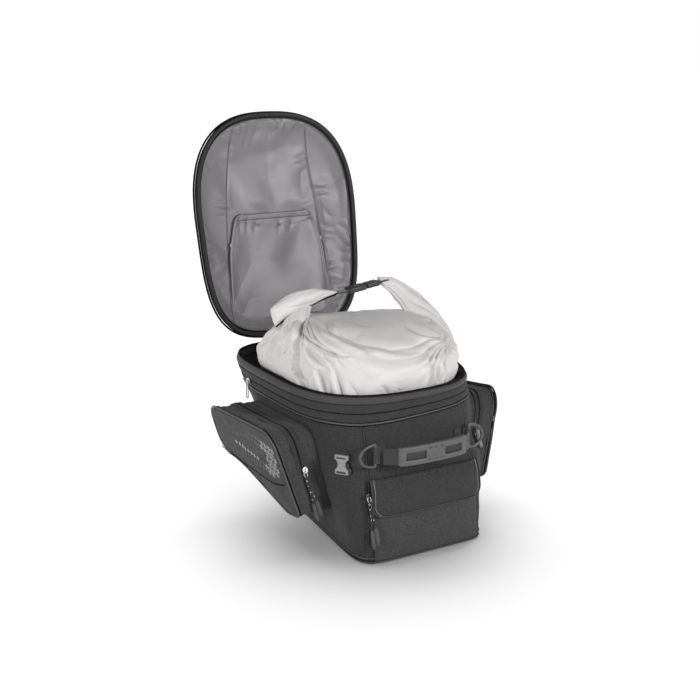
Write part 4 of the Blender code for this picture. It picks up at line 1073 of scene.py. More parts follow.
def build_side_pocket(name, side):
    outline = evenly(rounded_polygon(POCKET_CORNERS), 200, closed=True)
    z = outline[:, 1]
    middle = outline.mean(0)
    root = np.array([body_x(a, b) for a, b in outline]) + 0.0005
    face = pocket_face(z)
    zip_x = (root - 0.0005 + face) / 2
    centre = np.array((side * 0.165, middle[0], middle[1]))
    cover = f"{name}_pocket_cover"

    def ring(x, points):
        return np.column_stack([side * x, points])

    rows = []
    for t in np.linspace(0, 1, 22):
        fold = 0.0009 * (near(t - 0.30, 0.10) + near(t - 0.62, 0.10))
        rows.append(ring(root + (zip_x - 0.0004 - root) * t, moved_in(outline, 0.0004 + fold)))
    grid = np.array(rows)
    grid = relief(grid, centre, 0.0005 * noise(grid, 0.045, 71 + side), wrap_u=True)

    def cloth(part, body, stands):
        part = f"{name}_{part}_cloth"
        sheet(part, grid, POCKET_CLOTH, body, stands, centre, 0.0022, wrap_u=True)

    cloth("gusset", "bag", (f"{name}_pocket_gusset",))

    round_off = 0.0035
    start = zip_x + 0.0004
    shape = moved_in(outline, 0.0002)
    rows = [ring(start + (face - round_off - start) * t, shape) for t in np.linspace(0, 1, 18)]
    for turn in np.linspace(0, math.pi / 2, 8)[1:]:
        x = face - round_off + round_off * math.sin(turn)
        rows.append(ring(x, moved_in(outline, round_off * (1 - math.cos(turn)))))
    edge = moved_in(outline, round_off)
    for t in np.linspace(0, 1, 34)[1:]:
        shape = middle + (edge - middle) * (1 - t)
        rows.append(ring(pocket_face(shape[:, 1]) + 0.004 * math.sin(t * math.pi / 2) ** 0.8, shape))
    grid = np.array(rows)
    down = lengths(grid)[1]
    height = 0.0008 * noise(grid, 0.045, 81 + side) + 0.0005 * noise(grid, 0.018, 83 + side)
    fade = np.ones(len(rows))
    fade[-8:] = np.linspace(1, 0, 8)
    grid = relief(grid, centre, height * fade[:, None] * eased(down / 0.01), wrap_u=True)
    cloth("cover", cover, (cover,))
    build_pocket_face(name, side, grid, cover)
    for part, inset, back, radius, finish, slot, stands in (
        ("piping", -0.0016, 0.0012, 0.0016, TRIM, "piping", (f"{name}_pocket_piping",)),
        ("second_piping", -0.0007, 0.0072, 0.0011, TRIM, "piping", ()),
        ("dark_line", -0.0004, 0.0042, 0.0012, DARK, "zip_tape", ()),
    ):
        points = moved_in(outline, inset)
        line = ring(pocket_face(points[:, 1]) - back, points)
        round_line(f"{name}_cover_{part}", line, radius, finish, cover, (1, 0, 0), stands_for=stands)

    # zip tapes and teeth, one half on the gusset and one on the cover
    on = [i for i in range(len(outline)) if z[i] > 0.137]
    start = next(i for i in on if (i - 1) % len(outline) not in on)
    order = [(start + k) % len(outline) for k in range(len(on))]
    points = moved_in(outline, -0.0008)[order]
    out = np.column_stack([np.zeros(len(on)), points - middle])
    halves = (("gusset", -1, "bag", (f"{name}_pocket_zip",)), ("cover", 1, cover, ()))
    for part, sign, body, stands in halves:
        tape, teeth, seam = (ring(zip_x[order] + sign * d, points) for d in (0.0048, 0.0009, 0.0076))
        part = f"{name}_{part}_zip"
        strap(f"{part}_tape", tape, 0.0076, 0.0009, FABRIC_BAND, body, out, stands)
        zip_teeth(f"{part}_teeth", teeth, out, body, (0.0011, 0.0016, 0.0012), 0.0020, closed=False)
        stitches(f"{part}_stitches", seam, out, body)


# ---------------------------------------------------------------- sliders and pulls
def build_slider(name, node_place, out, along, body, finish=None):
    """A zip slider: one solid body that stands for its two plates and the wedge between, and a bridge over
    it.
    """
    out, along = np.asarray(out, float), np.asarray(along, float)
    across = np.cross(along, out)
    outline = [(0.0040, -0.0045), (0.0046, 0.0), (0.0044, 0.0030), (0.0022, 0.0058)]
    outline = [(-0.0040, -0.0045)] + outline + [(-a, b) for a, b in outline[:0:-1]]
    axes = (across, along, out)
    finish = finish or METAL
    prism(f"{name}_body", outline, -0.0016, 0.0012, node_place, axes, finish, body, 0.0006, (name,))
    t = np.linspace(0, math.pi, 12)
    path = np.outer(np.cos(t) * 0.0036, along) + np.outer(0.0010 + np.sin(t) * 0.0030, out)
    strap(f"{name}_bridge", node_place + path, 0.0022, 0.0009, finish, body, across)


def build_cord_pull(node, top, reach, spread=0.0032):
    """A cord looped through a slider's ring, its two legs ending in moulded grips."""
    top, reach = np.asarray(top, float), np.asarray(reach, float)
    length = np.linalg.norm(reach)
    down = reach / length
    across = np.cross(down, (0.3, 0.9, 0.0))
    across /= np.linalg.norm(across)
    facing = np.cross(down, across)
    for part, sign, end, stands in (("a", -1, 1.0, (node,)), ("b", 1, 0.93, ())):
        places = ((0.0, 0.0), (0.006, 0.0016), (length * 0.35, 0.0012), (length * 0.62 * end, spread))
        stops = [top + down * far + across * sign * wide for far, wide in places]
        line = smooth_line(stops, 26)
        round_line(f"{node}_cord_{part}", line, 0.0012, CORD, node, across, False, stands)
        tip = top + down * length * end + across * sign * (spread + 0.0007)
        line = evenly([stops[-1] - down * 0.002, tip], 9)
        sizes = (0.45, 0.75, 0.95, 1.0, 0.96, 1.0, 1.0, 0.9, 0.55)
        section = strap_section(0.0064, 0.0030)
        sweep(f"{node}_grip_{part}", line, section, CORD_END, node, facing, scales=sizes)
    t = np.linspace(0, TAU, 20, endpoint=False)
    ring = top + np.outer(np.cos(t) * 0.0026, across) + np.outer(np.sin(t) * 0.0042 - 0.0026, down)
    sweep(f"{node}_ring", ring, round_section(0.0007, 6), METAL, node, facing, True)


def middle_of(node):
    low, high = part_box(node)
    return np.array((low + high) / 2)


def pivot_of(name):
    return np.array(next(joint["pos_m"] for joint in frame["joints"] if joint["name"] == name))


def build_sliders():
    for name, side in SIDES:
        node, pull = f"{name}_pocket_slider", f"{name}_pocket_pull"
        build_slider(node, middle_of(node), (0, -1, 0), (side * 0.2240, 0.0983, 0.9696), node)
        build_cord_pull(pull, pivot_of(f"{pull}_swing"), (-side * 0.021, -0.008, -0.074))
        node = f"{name}_lid_slider"
        build_slider(node, middle_of(node), (0, 1, 0), (-side, 0, 0), node)
    build_slider("rear_zip_slider", middle_of("rear_zip_slider"), (0, -1, 0), (1, 0, 0), "bag", RING)
    build_cord_pull("rear_zip_pull", pivot_of("rear_pull_swing"), (0.006, -0.012, -0.075))
    node = "expansion_slider"
    build_slider(node, middle_of(node), (-1, 0, 0), (0, 1, 0), node)
    pull = "expansion_pull"
    top = pivot_of(f"{pull}_swing")
    t = np.linspace(math.pi, TAU, 14)
    loop = [top + (0, 0.0032 * math.cos(a), -0.0258 + 0.0032 * math.sin(a)) for a in t]
    loop = [top + (0, -0.0026, 0.001)] + loop + [top + (0, 0.0026, 0.001)]
    line = smooth_line(evenly(np.vstack([smooth_line(loop, 60), [top + (0, 0.0, 0.0032)]]), 30), 80, True)
    round_line(f"{pull}_wire", line, 0.0009, METAL, pull, (1, 0, 0), stands_for=(pull,))


# ---------------------------------------------------------------- rear pocket and flap
def proud(x, z):
    """How far the rear pocket stands off the rear panel's plan."""
    half = REAR_SEAM_X - 0.002
    return 0.0032 + 0.004 * eased((half - np.abs(x)) / 0.035) * np.sin(math.pi * np.minimum(1.0, z / 0.150))


def flap_half(z):
    """Half the flap's width at height z, with its lower corners rounded."""
    radius = 0.016
    edge = np.interp(z, (FLAP_BOTTOM, FLAP_TOP), (REAR_SEAM_X + 0.003, REAR_SEAM_X + 0.001))
    drop = np.clip((FLAP_BOTTOM + radius - z) / radius, 0, 1)
    return edge - radius * (1 - np.sqrt(np.maximum(0.0, 1 - drop**2)))


def build_rear_pocket():
    half = REAR_SEAM_X - 0.002
    x = np.linspace(-half, half, 110)

    def line_at(z, out):
        return np.stack([x, rear_y(x, z) - out, np.full(len(x), z)], 1)

    grid = np.array([line_at(z, proud(x, z)) for z in np.linspace(WALL_BOTTOM, REAR_POCKET_TOP, 60)])
    grid = soft_panel(grid, BODY_MIDDLE, 91, seam=0.0010, swell=0.0016)
    stands = ("rear_pocket_panel",)
    sheet("rear_pocket_cloth", grid, POCKET_CLOTH, "bag", stands, BODY_MIDDLE, 0.0022)
    z = REAR_POCKET_TOP + 0.0052
    back = (0, -1, 0)
    for part, up, stands in (("lower", -0.0030, ("rear_pocket_zip",)), ("upper", 0.0030, ())):
        line = line_at(z + up, 0.0028)
        strap(f"rear_zip_{part}_tape", line, 0.0048, 0.0010, DARK, "bag", back, stands)
    tooth = (0.0011, 0.0030, 0.0012)
    zip_teeth("rear_zip_teeth", line_at(z, 0.0030), back, "bag", tooth, 0.0020, closed=False)

    grid = []
    for z in FLAP_BOTTOM + (FLAP_TOP - FLAP_BOTTOM) * np.linspace(0, 1, 50) ** 1.5:
        xs = np.linspace(-1, 1, 120) * float(flap_half(z))
        out = proud(np.minimum(np.abs(xs), half), z) + 0.0040 + 0.0038 * eased((FLAP_TOP - z) / 0.02)
        grid.append(np.stack([xs, rear_y(xs, z) - out, np.full(len(xs), z)], 1))
    grid = soft_panel(np.array(grid), BODY_MIDDLE, 95, seam=0.0006, swell=0.0008, edges=(0, 1, 0, 0))
    flap = "rear_flap"
    sheet("rear_flap_cloth", grid, FABRIC, flap, (flap,), BODY_MIDDLE, 0.0024)

    def round_three_sides(inset, row, lift):
        end = -1 - inset
        line = np.vstack([grid[row:][::-1, inset], grid[row, inset + 1 : end], grid[row:, end]])
        return smooth_line(evenly(line + (0, lift, 0), 60), 240)

    line = round_three_sides(0, 0, -0.0002)
    strap("rear_flap_binding", line, 0.0024, 0.0026, TRIM_DARK, flap, back)
    line = round_three_sides(3, 2, -0.0001)
    strap("rear_flap_reflective_line", line, 0.0013, 0.0005, REFLECTIVE, flap, back)
    stitches("rear_flap_stitches", grid[-3, 2:-2] + (0, -0.0002, 0), back, flap)


# ---------------------------------------------------------------- handle, D-rings, corner buckles
def handle_point(x, up=0.0, out=0.0):
    """A point of the carry handle: x along it, up, and out from the strap's middle."""
    x = np.asarray(x, float)

    def bow(v):
        return 0.031 * (1 - np.abs(v / 0.084) ** 3.0) ** 0.5

    slope = (bow(x + 1e-4) - bow(x - 1e-4)) / 2e-4
    size = np.sqrt(1 + slope**2)
    y = HANDLE_Y - bow(x) - out / size
    return np.stack([x - slope / size * out, y, HANDLE_Z + np.broadcast_to(up, x.shape)], -1)


def grip_bar(name, x, up, out, finish, ease=0.0008, steps=24, stands_for=()):
    """A moulded bar that follows the handle's curve. Its x, up and out are (from, to)."""
    (x0, x1), (b0, b1), (t0, t1) = x, up, out
    xs = np.linspace(x0, x1, steps)
    ends = np.minimum(1, np.minimum(xs - x0, x1 - xs) / ease + 0.25)
    grid = []
    for place_x, k in zip(xs, ends, strict=True):
        shrink = ease * (1 - k)
        lo_b, hi_b, lo_t, hi_t = b0 + shrink, b1 - shrink, t0, t1 - shrink
        e = min(ease, (hi_b - lo_b) / 3, (hi_t - lo_t) / 3)
        ring = ((lo_b + e, lo_t), (hi_b - e, lo_t), (hi_b, lo_t + e), (hi_b, hi_t - e))
        ring += ((hi_b - e * 0.3, hi_t - e * 0.3), (hi_b - e, hi_t), (lo_b + e, hi_t))
        ring += ((lo_b + e * 0.3, hi_t - e * 0.3), (lo_b, hi_t - e), (lo_b, lo_t + e))
        grid.append([handle_point(place_x, b, t) for b, t in ring])
    middle = handle_point((x0 + x1) / 2, (b0 + b1) / 2, (t0 + t1) / 2)
    return sheet(name, grid, finish, "handle", stands_for, middle, wrap_u=True, caps=True)


def about(centre, half):
    return centre - half, centre + half


def build_handle():
    path = handle_point(np.linspace(-0.0805, 0.0805, 90))
    out = handle_point(np.linspace(-0.0805, 0.0805, 90), out=1.0) - path
    strap("handle_webbing", path, 0.025, 0.0018, WEBBING, "handle", out, ("handle_strap",))
    slab = about(0, 0.063), about(0, 0.0145), (-0.0036, 0.0022)
    grip_bar("grip_slab", *slab, GRIP, 0.0020, 40, ("handle_grip",))
    raised = (0.0020, 0.0044)
    for part, up in (("top", (0.0062, 0.0142)), ("bottom", (-0.0142, -0.0062))):
        grip_bar(f"grip_frame_{part}", about(0, 0.0615), up, raised, GRIP, 0.0014, 40)
    for part, x in (("left", (-0.0615, -0.0510)), ("right", (0.0510, 0.0615))):
        grip_bar(f"grip_frame_{part}", x, about(0, 0.0080), raised, GRIP, 0.0012, 8)
    grip_bar("grip_centre", about(0, 0.0175), about(0, 0.0096), (0.0020, 0.0050), GRIP, 0.0012)
    for name, side in SIDES:
        lo, hi = sorted((side * 0.0180, side * 0.0512))
        grip_bar(f"grip_insert_{name}", (lo, hi), about(0, 0.0064), (0.0018, 0.0026), GRIP_DARK, 0.0004, 20)
        for k in range(9):
            x = about(lo + (hi - lo) * (k + 0.5) / 9, 0.0008)
            grip_bar(f"grip_rib_{name}_{k}", x, about(0, 0.0055), (0.0024, 0.0031), GRIP_DARK, 0.0003, 5)
    for k in range(3):
        centre = (k - 1) * 0.0110
        for part, up in (("top", (0.0082, 0.0094)), ("bottom", (-0.0094, -0.0082))):
            x = about(centre, 0.0036)
            grip_bar(f"grip_dash_{part}_{k}", x, up, (0.0046, 0.0053), BUCKLE_DARK, 0.0003, 5)
        x = about(centre, 0.0030)
        grip_bar(f"grip_centre_rib_{k}", x, about(0, 0.0050), (0.0046, 0.0056), GRIP, 0.0007, 6)
    for name, side in SIDES:
        build_d_ring(name, side)


def build_d_ring(name, side):
    """A D-ring and the webbing that holds it: a loop round its bar and a sewn patch."""
    bar = np.array((side * D_RING_X, HANDLE_Y, HANDLE_Z))
    half, ring = 0.0175, f"{name}_d_ring"
    t = np.linspace(-math.pi / 2, math.pi / 2, 40)
    bow = np.stack([side * 0.027 * np.cos(t) ** 0.9, np.zeros(40), half * np.sin(t)], 1)
    straight = np.stack([np.zeros(12), np.zeros(12), np.linspace(half, -half, 14)[1:-1]], 1)
    line = evenly(bar + np.vstack([bow, straight]), 90, True)
    wire = round_section(0.0023, 12)
    sweep(f"{ring}_wire", line, wire, RING, ring, (0, 1, 0), True, stands_for=(ring,))
    radius, back = 0.0028, 0.0068
    turn = np.linspace(math.pi / 2, 3 * math.pi / 2, 16)
    profile = [(radius * math.cos(a), radius * math.sin(a)) for a in turn]
    profile = [(back, radius)] + profile + [(back, -radius)]
    width = np.linspace(-0.0125, 0.0125, 24)
    rows = [[bar + (-side * p, q, z) for p, q in profile] for z in width]
    stands, inside = (f"{name}_handle_anchor",), bar - (side * 0.002, 0, 0)
    sheet(f"{name}_anchor_loop", rows, WEBBING, "bag", stands, inside, 0.0011)
    xs = np.linspace(side * 0.0805, side * 0.066, 14)
    zs = HANDLE_Z + np.linspace(-0.0125, 0.0125, 12)
    rows = [[(x, rear_y(x, z) - 0.0016, z) for x in xs] for z in zs]
    sheet(f"{name}_anchor_patch", rows, WEBBING, "bag", (), (0, 0, 0.17), 0.0014)


def corner_frame(side):
    """A corner buckle's place on the cloth, the way out from it and the way across it."""
    points = half_outline(0.159)
    gaps = [abs(p[1] + 0.179) + (p[0] < 0.09) for p in points]
    i = int(np.argmin(gaps[1:-1])) + 1
    along = points[i + 1] - points[i - 1]
    along /= np.linalg.norm(along)
    out = np.array((side * along[1], -along[0], 0.0))
    return np.array((side * points[i][0], points[i][1], 0.174)), out, np.array((out[1], -out[0], 0.0))


def build_corner_buckles():
    for name, side in SIDES:
        surface, out, across = corner_frame(side)
        axes = (across, np.array((0, 0, 1.0)), out)
        node = f"{name}_corner_buckle"

        def plate(part, outline, low, high, finish, bevel, stands=()):
            part, slot = f"{node}_{part}", "buckle_plastic"
            prism(part, outline, low, high, surface, axes, finish, node, bevel, stands)

        line = evenly(surface + 0.0022 * out + np.outer((0.003, -0.027), (0, 0, 1)), 20)
        stands = (f"{name}_buckle_tab",)
        strap(f"{name}_buckle_webbing", line, 0.020, 0.0013, WEBBING, "bag", out, stands)
        body = [(0.0112, 0.001), (0.0112, -0.0060), (0.0078, -0.0085), (0.0062, -0.0120)]
        body += [(0.0062, -0.0170), (0.0080, -0.0205), (0.0108, -0.0230), (0.0108, -0.0300)]
        body += [(-a, b) for a, b in reversed(body)]
        plate("shell", body, 0.0050, 0.0106, BUCKLE, 0.0010, (node,))
        for part, z0, z1 in (("top", -0.0048, -0.0022), ("low", -0.0282, -0.0248)):
            slot = box_outline(about(0, 0.0078), (z0, z1))
            plate(f"slot_{part}", slot, 0.0100, 0.0109, BUCKLE_DARK, 0.0003)
        tongue = ((0.0010, -0.0295), (0.0145, -0.0295), (0.0155, -0.0235), (0.0115, -0.0180))
        tongue = [(side * a, b) for a, b in tongue + ((0.0105, -0.0110), (0.0010, -0.0110))]
        plate("tongue", tongue, 0.0030, 0.0066, BUCKLE_DARK, 0.0010)
        plate("rib", box_outline(about(0, 0.0030), (-0.0185, -0.0105)), 0.0100, 0.0116, BUCKLE, 0.0005)


# ---------------------------------------------------------------- dry bag
def ovals(table, rows, cols):
    """Rings from a table of (z, centre y, left, right, half depth, left squareness, right squareness)."""
    line = smooth_line(table, rows)
    turn = TAU * np.arange(cols) / cols
    c, s = np.cos(turn), np.sin(turn)
    made = []
    for z, cy, left, right, deep, square_left, square_right in line:
        square = np.where(c < 0, square_left, square_right)
        half = np.where(c < 0, left, right)
        v = np.sign(c) * np.abs(c) ** (2 / square)
        u = np.sign(s) * np.abs(s) ** (2 / square)
        made.append(np.stack([v * np.maximum(half, 0), cy + u * max(deep, 0), np.full(cols, z)], 1))
    return np.array(made)


def folds_on(points, facing):
    """Relief of the dry bag's long folds: lines of (distance along ACROSS, height), a depth and a width."""
    along = points @ ACROSS
    here = np.stack([along, points[..., 2]], -1)
    total = np.zeros(points.shape[:-1])
    for line, depth, width in DRY_FOLDS:
        path = smooth_line(line, 24)
        start, end = path[:-1], path[1:]
        best = np.full(here.shape[:-1], 1.0)
        side = np.zeros(here.shape[:-1])
        where = np.zeros(here.shape[:-1])
        for k, (a, b) in enumerate(zip(start, end, strict=True)):
            d = b - a
            t = np.clip(((here - a) @ d) / (d @ d), 0, 1)
            gap = here - (a + t[..., None] * d)
            far = np.hypot(gap[..., 0], gap[..., 1])
            closer = far < best
            best = np.where(closer, far, best)
            side = np.where(closer, gap[..., 0] * d[1] - gap[..., 1] * d[0], side)
            where = np.where(closer, (k + t) / len(start), where)
        taper = np.sin(math.pi * np.clip(where * 0.9 + 0.05, 0, 1)) ** 0.6
        signed = best * np.sign(side)
        valley = np.exp(-((best / (1.15 * width)) ** 1.15))
        ridge = np.exp(-(((signed - 1.5 * width) / (1.2 * width)) ** 2))
        total += depth * taper * (0.75 * ridge - valley)
    return total * eased(facing / 0.35)


def inside_rim(points, inset=0.0098, ease=0.0008):
    """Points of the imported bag, drawn in so that the shut lid and its rim clear them."""
    ring = plan_ring(RIM_PLAN, inset, 960)
    turn = np.arctan2(ring[:, 1], ring[:, 0])
    order = np.argsort(turn)
    size = np.hypot(ring[:, 0], ring[:, 1])
    here = np.arctan2(points[..., 1], points[..., 0])
    reach = np.hypot(points[..., 0], points[..., 1])
    limit = np.interp(here, turn[order], size[order], period=TAU)
    drawn = limit - ease * np.logaddexp(0, (limit - reach) / ease)
    share = drawn / np.maximum(reach, 1e-6)
    return points * np.stack([share, share, np.ones_like(share)], -1)


def pleats(turn):
    """Cloth pleats over a half turn each, from -0.6 to 0.4: round crests between sharp valleys."""
    return np.abs(np.sin(turn)) ** 0.7 - 0.6


def fan(points, spot, count, seed, depth, reach):
    """Pleats that fan out from a gathered spot."""
    gap = points - np.asarray(spot)
    a, b = gap @ ACROSS, gap[..., 2]
    far = np.hypot(a, b)
    turn = np.arctan2(b, a)
    wobble = noise(points, 0.07, seed)
    size = 0.62 + 0.38 * np.sin(turn * count * 0.41 + seed)
    fade = eased(far / 0.03) * (1 - eased((far - reach * 0.4) / reach))
    return depth * size * pleats(turn * count / 2 + wobble) * fade


def nylon_piece(name, grid, stands_for, inside, caps=False):
    return sheet(name, grid, NYLON, "dry_bag", stands_for, inside, wrap_u=True, caps=caps)


def lens(name, upper, lower, fat, stands_for, count, seed, steps=150, sides=128):
    """A soft bundle between two edge lines, fat in the middle and pleated along its length."""
    upper, lower = smooth_line(upper, steps), smooth_line(lower, steps)
    middle, half = (upper + lower) / 2, (upper - lower) / 2
    along = np.gradient(middle, axis=0)
    out = np.cross(along, half)
    out /= np.linalg.norm(out, axis=1, keepdims=True)
    if out[len(out) // 2][1] > 0:
        out = -out
    t = TAU * np.arange(sides) / sides
    share = np.linspace(0, 1, steps)
    thick = np.interp(share, np.linspace(0, 1, len(fat)), fat)
    grid = middle[:, None] + half[:, None] * np.cos(t)[None, :, None]
    grid = grid + out[:, None] * (np.sin(t)[None, :] * thick[:, None])[..., None]
    wave = pleats(t[None, :] * count / 2 + 0.9 * noise(grid, 0.07, seed)) * thick[:, None] * 0.26
    wave *= 0.65 + 0.35 * np.sin(t[None, :] * 2 + 5 * share[:, None] + seed)
    wave += 0.0006 * noise(grid, 0.030, seed + 1)
    wave *= np.minimum(1, np.minimum(share, 1 - share) / 0.05)[:, None]
    away = grid - middle[:, None]
    away /= np.maximum(np.linalg.norm(away, axis=2, keepdims=True), 1e-9)
    grid = grid + away * wave[..., None]
    if middle[-1][2] < 0.320:
        grid = inside_rim(grid)
    return nylon_piece(name, grid, stands_for, middle.mean(0), caps=True)


def build_dry_bag():
    """Builds the dry bag and returns its soft upper pieces and the roll's buckle."""
    middle = (0, -0.045, 0.15)
    lower = ((0.0135, -0.045, 0.052, 0.052, 0.115, 3, 3), (0.030, -0.045, 0.068, 0.068, 0.135, 3.2, 3.2))
    lower += ((0.100, -0.043, 0.084, 0.084, 0.138, 3.2, 3.2), (0.170, -0.042, 0.106, 0.106, 0.140, 3, 3))
    lower += ((0.2480, -0.042, 0.124, 0.124, 0.140, 2.8, 2.8),)
    grid = ovals(lower, 60, 240)
    grid = relief(grid, middle, 0.0016 * noise(grid, 0.06, 101), wrap_u=True)
    nylon_piece("dry_bag_lower_cloth", grid, ("dry_bag_lower",), middle, caps=True)

    centre = (0, -0.046, 0.26)
    grid = dry_bag_upper_grid(centre)
    soft = [nylon_piece("dry_bag_upper_cloth", grid, ("dry_bag_upper",), centre)]
    top = ((-0.155, -0.008, 0.374), (-0.144, -0.008, 0.382), (-0.128, -0.008, 0.390),
        (-0.110, -0.008, 0.3955))
    top += ((-0.091, -0.008, 0.398), (-0.069, -0.008, 0.397), (-0.050, -0.008, 0.3925),
        (-0.034, -0.008, 0.3885))
    low = ((-0.151, -0.016, 0.346), (-0.140, -0.016, 0.353), (-0.123, -0.015, 0.361),
        (-0.105, -0.014, 0.3675))
    low += ((-0.087, -0.013, 0.3725), (-0.066, -0.012, 0.379), (-0.049, -0.011, 0.383),
        (-0.035, -0.010, 0.3855))
    fat = (0.0075, 0.0105, 0.0110, 0.0090, 0.0070, 0.0035)
    soft.append(lens("roll_left_cloth", top, low, fat, ("roll_top_left",), 4, 121))
    hem = smooth_line(np.array(low) + (0, -0.0015, -0.0006), 90)
    soft.append(strap("roll_left_hem", hem, 0.0030, 0.0022, DARK, "dry_bag", (0, -1, 0.2)))
    top = ((-0.072, -0.004, 0.3800), (-0.083, -0.012, 0.3690), (-0.094, -0.024, 0.3570))
    top += ((-0.103, -0.038, 0.3420), (-0.110, -0.052, 0.3220))
    low = ((-0.122, -0.002, 0.3640), (-0.131, -0.008, 0.3540), (-0.140, -0.016, 0.3420))
    low += ((-0.146, -0.026, 0.3260), (-0.150, -0.038, 0.3060))
    soft.append(lens("roll_left_neck_cloth", top, low, (0.010, 0.014, 0.017, 0.016, 0.008), (), 9, 131))
    top = ((0.052, 0.000, 0.4035), (0.066, -0.004, 0.4030), (0.081, -0.010, 0.3990), (0.109, -0.020, 0.3800))
    top += ((0.126, -0.035, 0.3590), (0.137, -0.055, 0.3370), (0.144, -0.075, 0.3140),
        (0.149, -0.092, 0.2930))
    low = ((0.054, -0.010, 0.3925), (0.062, -0.013, 0.3840), (0.070, -0.018, 0.3740), (0.077, -0.028, 0.3600))
    low += ((0.082, -0.044, 0.3470), (0.097, -0.064, 0.3330), (0.110, -0.084, 0.3200),
        (0.128, -0.099, 0.3020))
    fat = (0.0045, 0.008, 0.011, 0.014, 0.016, 0.016, 0.012, 0.006)
    soft.append(lens("roll_right_cloth", top, low, fat, ("roll_top_right",), 7, 141))
    return soft + build_roll_buckle()


def dry_bag_upper_grid(centre):
    """The bulging upper bag: long folds, pleats that fan out from two corners, and a gathered foot."""
    upper = ((0.2485, -0.042, 0.126, 0.125, 0.140, 2.8, 2.8), (0.255, -0.043, 0.143, 0.133, 0.139, 3.6, 2.9))
    upper += ((0.268, -0.044, 0.155, 0.140, 0.138, 5.0, 3.0), (0.290, -0.045, 0.158, 0.143, 0.138, 5.5, 3.2))
    upper += ((0.312, -0.045, 0.155, 0.136, 0.122, 4.5, 2.9), (0.332, -0.047, 0.146, 0.119, 0.097, 3.4, 2.5))
    upper += ((0.346, -0.050, 0.122, 0.092, 0.064, 2.6, 2.2), (0.3525, -0.052, 0.070, 0.050, 0.032, 2, 2))
    upper += ((0.3535, -0.052, 0, 0, 0, 2, 2),)
    grid = ovals(upper, 190, 620)
    grid[-1] = grid[-1].mean(0)
    rise = eased((-0.02 - grid[..., 0]) / 0.08) * eased((grid[..., 2] - 0.300) / 0.045)
    grid[..., 2] += 0.0075 * rise
    grid = inside_rim(grid, 0.0128, 0.004)
    facing = normals(grid, centre, True) @ TOWARDS
    height = 0.0016 * noise(grid, 0.110, 111) + 0.0004 * noise(grid, 0.030, 112)
    height += 2.1 * folds_on(grid, facing)
    left, right = (-0.116, -0.034, 0.368), (0.132, -0.080, 0.322)
    height += fan(grid, left, 26, 117, 0.0056, 0.090) + fan(grid, left, 17, 120, 0.0036, 0.190)
    height += fan(grid, right, 22, 118, 0.0054, 0.066) + fan(grid, right, 13, 123, 0.0026, 0.170)
    around = np.arctan2(grid[..., 1] + 0.045, grid[..., 0])
    gathers = pleats(around * 21 + 1.4 * noise(grid, 0.07, 119)) * near(grid[..., 2] - 0.254, 0.038)
    height += 0.0058 * gathers * eased(0.5 + 0.9 * noise(grid, 0.09, 122))
    height *= eased((grid[..., 2] - DRY_BAG_SPLIT) / 0.012)
    return inside_rim(relief(grid, centre, height, wrap_u=True))


def build_roll_buckle():
    """The side-release buckle between the roll's two ends, on black tape."""
    tilt = np.array(Matrix.Rotation(math.radians(-8), 3, "Y"))
    centre = np.array((0.018, -0.006, 0.3915))
    axes = (tilt @ (1, 0, 0), tilt @ (0, 1, 0), tilt @ (0, 0, 1))
    made = []

    def plate(name, outline, low, high, finish, body, bevel, stands=()):
        name, slot = f"roll_buckle_{name}", "buckle_plastic"
        made.append(prism(name, outline, low, high, centre, axes, finish, body, bevel, stands))

    bag, plug = "dry_bag", "roll_buckle_plug"
    shape = [(0.004, -0.0100), (-0.006, -0.0112), (-0.022, -0.0104), (-0.030, -0.0088)]
    shape = [(0.004, 0.0100)] + shape + [(a, -b) for a, b in shape[:0:-1]]
    plate("shell", shape, -0.0042, 0.0042, BUCKLE_DARK, bag, 0.0016, ("roll_buckle_socket",))
    window = ((-0.004, 0.0060), (-0.004, -0.0060), (-0.016, -0.0045), (-0.016, 0.0045))
    plate("window", window, 0.0040, 0.0049, TRIM, bag, 0.0004)
    for k in range(3):
        a = -0.0215 - 0.0032 * k
        bar = ((a + 0.0008, 0.007), (a + 0.0008, -0.007), (a - 0.0008, -0.007), (a - 0.0008, 0.007))
        plate(f"ladder_{k}", bar, 0.0040, 0.0052, BUCKLE_DARK, bag, 0.0004)
    shape = [(0.0056, -0.0100), (0.016, -0.0092), (0.022, -0.0098), (0.030, -0.0098)]
    shape = [(0.0056, 0.0100)] + shape + [(a, -b) for a, b in shape[:0:-1]]
    plate("plug_shell", shape, -0.0038, 0.0040, BUCKLE_DARK, plug, 0.0014, (plug,))
    rib = ((0.009, 0.006), (0.009, -0.006), (0.014, -0.006), (0.014, 0.006))
    plate("plug_rib", rib, 0.0038, 0.0047, TRIM, plug, 0.0004)
    left = ((-0.038, -0.008, 0.3868), (-0.026, -0.007, 0.3868), (-0.012, -0.006, 0.3878),
        (-0.004, -0.006, 0.3886))
    right = ((0.040, -0.006, 0.3946), (0.049, -0.006, 0.3964), (0.058, -0.006, 0.3984),
        (0.066, -0.006, 0.3990))
    for name, body, stops in (("left", bag, left), ("right", plug, right)):
        line = smooth_line(stops, 30)
        made.append(strap(f"roll_{name}_tape", line, 0.017, 0.0022, WEBBING, body, (0, 0, 1)))
    return made


# ---------------------------------------------------------------- CAD nodes that stay, with better finishes
def finish_cad_nodes():
    for node in ("base_board", "lid_board"):
        materials = frame["nodes"][node].data.materials
        materials.clear()
        materials.append(TRIM_DARK)


